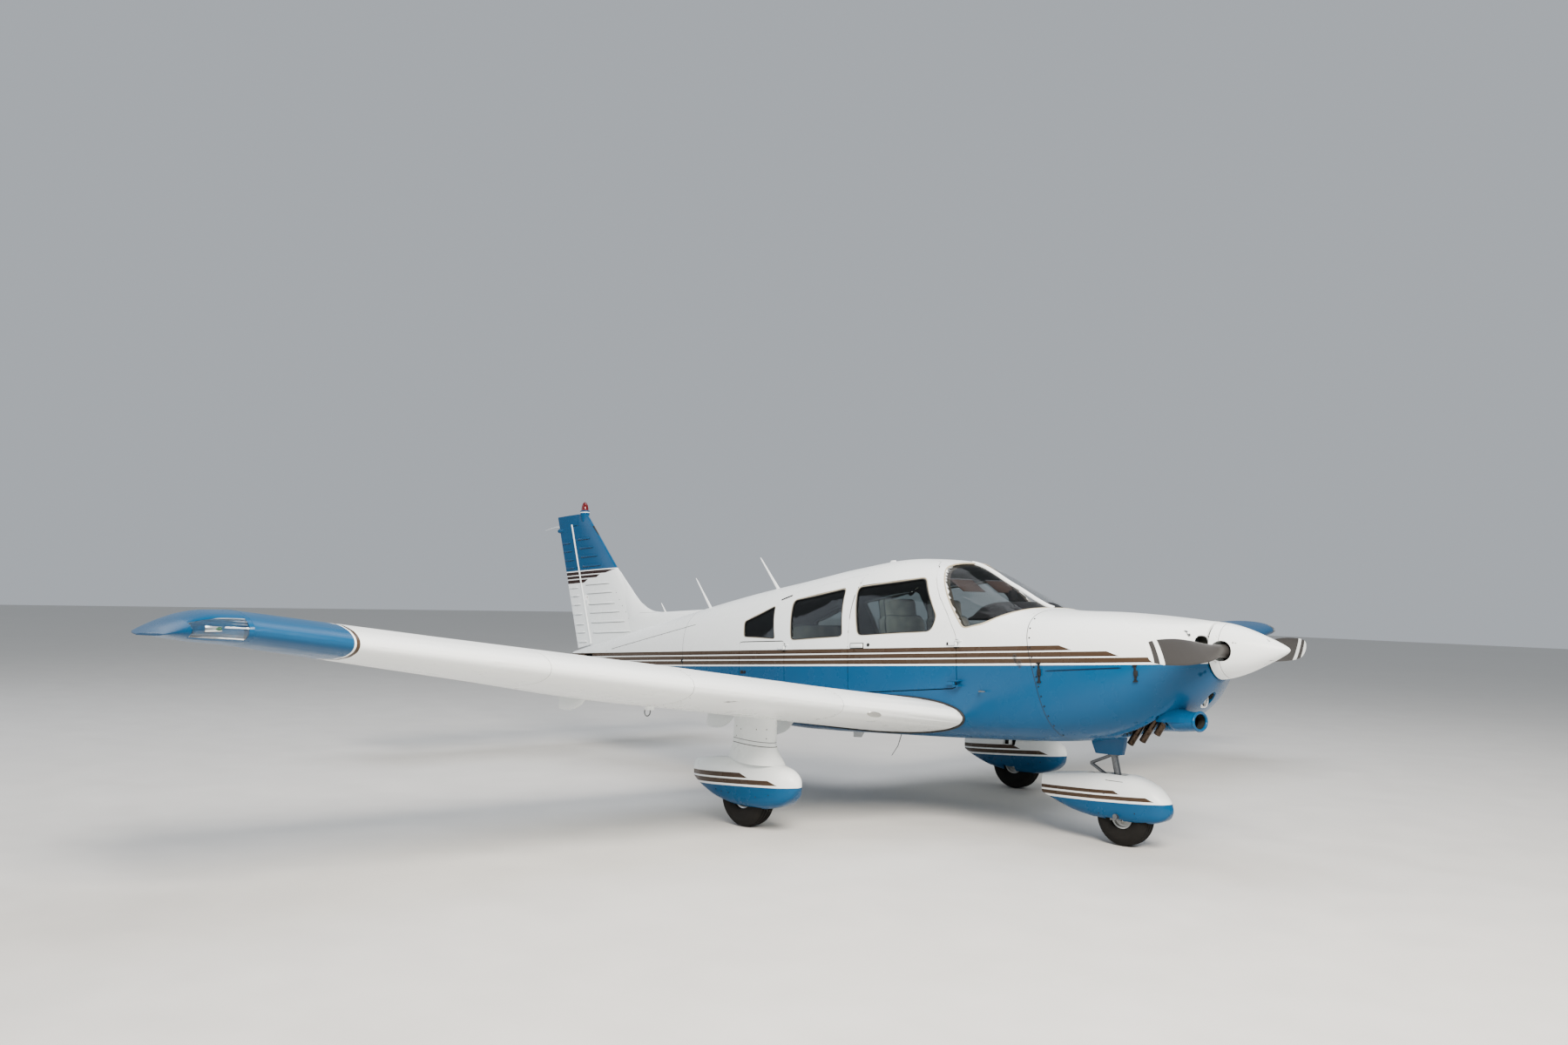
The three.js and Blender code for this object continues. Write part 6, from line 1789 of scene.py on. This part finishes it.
class AIRCRAFT_OT_studio(bpy.types.Operator):
    """Pale floor, soft lights and the camera at the photograph's viewing angle"""
    bl_idname = "aircraft.studio"
    bl_label = "Studio stage"

    def execute(self, context):
        stage = context.scene.aircraft_stage
        make = finishes()
        bm = bmesh.new()
        bmesh.ops.create_grid(bm, x_segments=2, y_segments=2, size=FLOOR_HALF)
        mesh = bpy.data.meshes.new("studio_floor")
        bm.to_mesh(mesh)
        bm.free()
        floor = bpy.data.objects.new("studio_floor", mesh)
        mesh.materials.append(make["floor"])
        context.scene.collection.objects.link(floor)
        world = bpy.data.worlds.new("studio_air")
        context.scene.world = world
        world.use_nodes = True
        feed(world.node_tree, world.node_tree.nodes["Background"], {0: linear("#dfe6ee"), 1: stage.air})
        for kind, place, aim, size, tint in SOFTBOXES:
            lamp = bpy.data.lights.new(kind + "_softbox", "AREA")
            lamp.shape = "SQUARE"
            lamp.size = size
            lamp.energy = getattr(stage, kind)
            lamp.color = linear(tint)[:3]
            lit = bpy.data.objects.new(kind + "_softbox", lamp)
            lit.matrix_world = Matrix.Translation(place) @ (
                Vector(place) - Vector(aim)).to_track_quat("Z", "Y").to_matrix().to_4x4()
            context.scene.collection.objects.link(lit)
        yaw, pitch, roll = stage.yaw, stage.pitch, stage.roll
        forward = Vector((math.cos(pitch) * math.cos(yaw), math.cos(pitch) * math.sin(yaw), math.sin(pitch)))
        right = Vector((math.sin(yaw), -math.cos(yaw), 0))
        up = right.cross(forward)
        across = right * math.cos(roll) + up * math.sin(roll)
        raised = up * math.cos(roll) - right * math.sin(roll)
        data = bpy.data.cameras.new("photo_camera")
        data.sensor_width = 36
        data.lens = stage.lens
        data.clip_end = 200
        camera = bpy.data.objects.new("photo_camera", data)
        camera.matrix_world = Matrix.Translation(stage.camera) @ Matrix(
            (across, raised, -forward)).transposed().to_4x4()
        context.scene.collection.objects.link(camera)
        context.scene.camera = camera
        return {"FINISHED"}


class AircraftPaint(bpy.types.PropertyGroup):
    """Colours of the paint scheme, as sRGB hex values"""
    white: StringProperty(name="White", description="Upper body, wings and tail", default="#eef2f2")
    blue: StringProperty(name="Blue", description="Lower body, fin top and wing tips", default="#00456d")
    stripe: StringProperty(name="Stripe", description="Narrow bands", default="#3f3023")
    pinline: StringProperty(name="Pin line", description="Dark lower edge of the bands", default="#26140f")
    blade: StringProperty(name="Blade", description="Propeller blades", default="#343231")


class AircraftStage(bpy.types.PropertyGroup):
    """Camera and lights"""
    camera: FloatVectorProperty(name="Camera", description="Where the camera stands, in the parked frame",
                                default=(7.2083, -7.5634, 1.5651), subtype="TRANSLATION", unit="LENGTH")
    yaw: FloatProperty(name="Yaw", description="Heading of the view", default=2.3683, subtype="ANGLE")
    pitch: FloatProperty(name="Pitch", description="Rise of the view", default=0.05352, subtype="ANGLE")
    roll: FloatProperty(name="Roll", description="Lean of the camera", default=0.02852, subtype="ANGLE")
    lens: FloatProperty(name="Lens", description="Focal length on a 36 mm frame, in millimetres", default=29.984)
    key: FloatProperty(name="Key", description="Power of the key light", default=3600, subtype="POWER")
    fill: FloatProperty(name="Fill", description="Power of the fill light", default=350, subtype="POWER")
    top: FloatProperty(name="Top", description="Power of the overhead light", default=1000, subtype="POWER")
    air: FloatProperty(name="Air", description="Strength of the even light all round", default=0.62)


class AircraftSizes(bpy.types.PropertyGroup):
    """Sizes of the trim"""
    seal: FloatProperty(name="Seal", description="Width of the window sealant", default=0.011, unit="LENGTH")
    screw: FloatProperty(name="Screw", description="Diameter of the skin screws' heads", default=0.0072,
                         unit="LENGTH")


PIECES = [AIRCRAFT_OT_body, AIRCRAFT_OT_glazing, AIRCRAFT_OT_wings, AIRCRAFT_OT_tail, AIRCRAFT_OT_wheels,
          AIRCRAFT_OT_gear, AIRCRAFT_OT_propeller, AIRCRAFT_OT_seats, AIRCRAFT_OT_seals, AIRCRAFT_OT_cabin,
          AIRCRAFT_OT_antennas, AIRCRAFT_OT_hardware, AIRCRAFT_OT_engine, AIRCRAFT_OT_tail_fittings,
          AIRCRAFT_OT_wing_fittings, AIRCRAFT_OT_gear_fittings, AIRCRAFT_OT_studio]


class AIRCRAFT_PT_dresser(bpy.types.Panel):
    """Paint, sizes and pieces of the aircraft"""
    bl_label = "Aircraft"
    bl_space_type = "VIEW_3D"
    bl_region_type = "UI"
    bl_category = "Aircraft"

    def draw(self, context):
        scene = context.scene
        for group in (scene.aircraft_paint, scene.aircraft_sizes, scene.aircraft_stage):
            box = self.layout.box()
            for name in group.__annotations__:
                box.prop(group, name)
        for piece in PIECES:
            self.layout.operator(piece.bl_idname)


CLASSES = [AircraftPaint, AircraftSizes, AircraftStage, *PIECES, AIRCRAFT_PT_dresser]


def register():
    for made in CLASSES:
        bpy.utils.register_class(made)
    bpy.types.Scene.aircraft_paint = PointerProperty(type=AircraftPaint)
    bpy.types.Scene.aircraft_sizes = PointerProperty(type=AircraftSizes)
    bpy.types.Scene.aircraft_stage = PointerProperty(type=AircraftStage)


def unregister():
    del bpy.types.Scene.aircraft_stage
    del bpy.types.Scene.aircraft_sizes
    del bpy.types.Scene.aircraft_paint
    for made in reversed(CLASSES):
        bpy.utils.unregister_class(made)


def main():
    register()
    bpy.ops.aircraft.body()
    bpy.ops.aircraft.glazing()
    bpy.ops.aircraft.wings()
    bpy.ops.aircraft.tail()
    bpy.ops.aircraft.wheels()
    bpy.ops.aircraft.gear()
    bpy.ops.aircraft.propeller()
    bpy.ops.aircraft.seats()
    bpy.ops.aircraft.seals()
    bpy.ops.aircraft.cabin()
    bpy.ops.aircraft.antennas()
    bpy.ops.aircraft.hardware()
    bpy.ops.aircraft.engine()
    bpy.ops.aircraft.tail_fittings()
    bpy.ops.aircraft.wing_fittings()
    bpy.ops.aircraft.gear_fittings()
    bpy.ops.aircraft.studio()


if __name__ == "__main__":
    main()
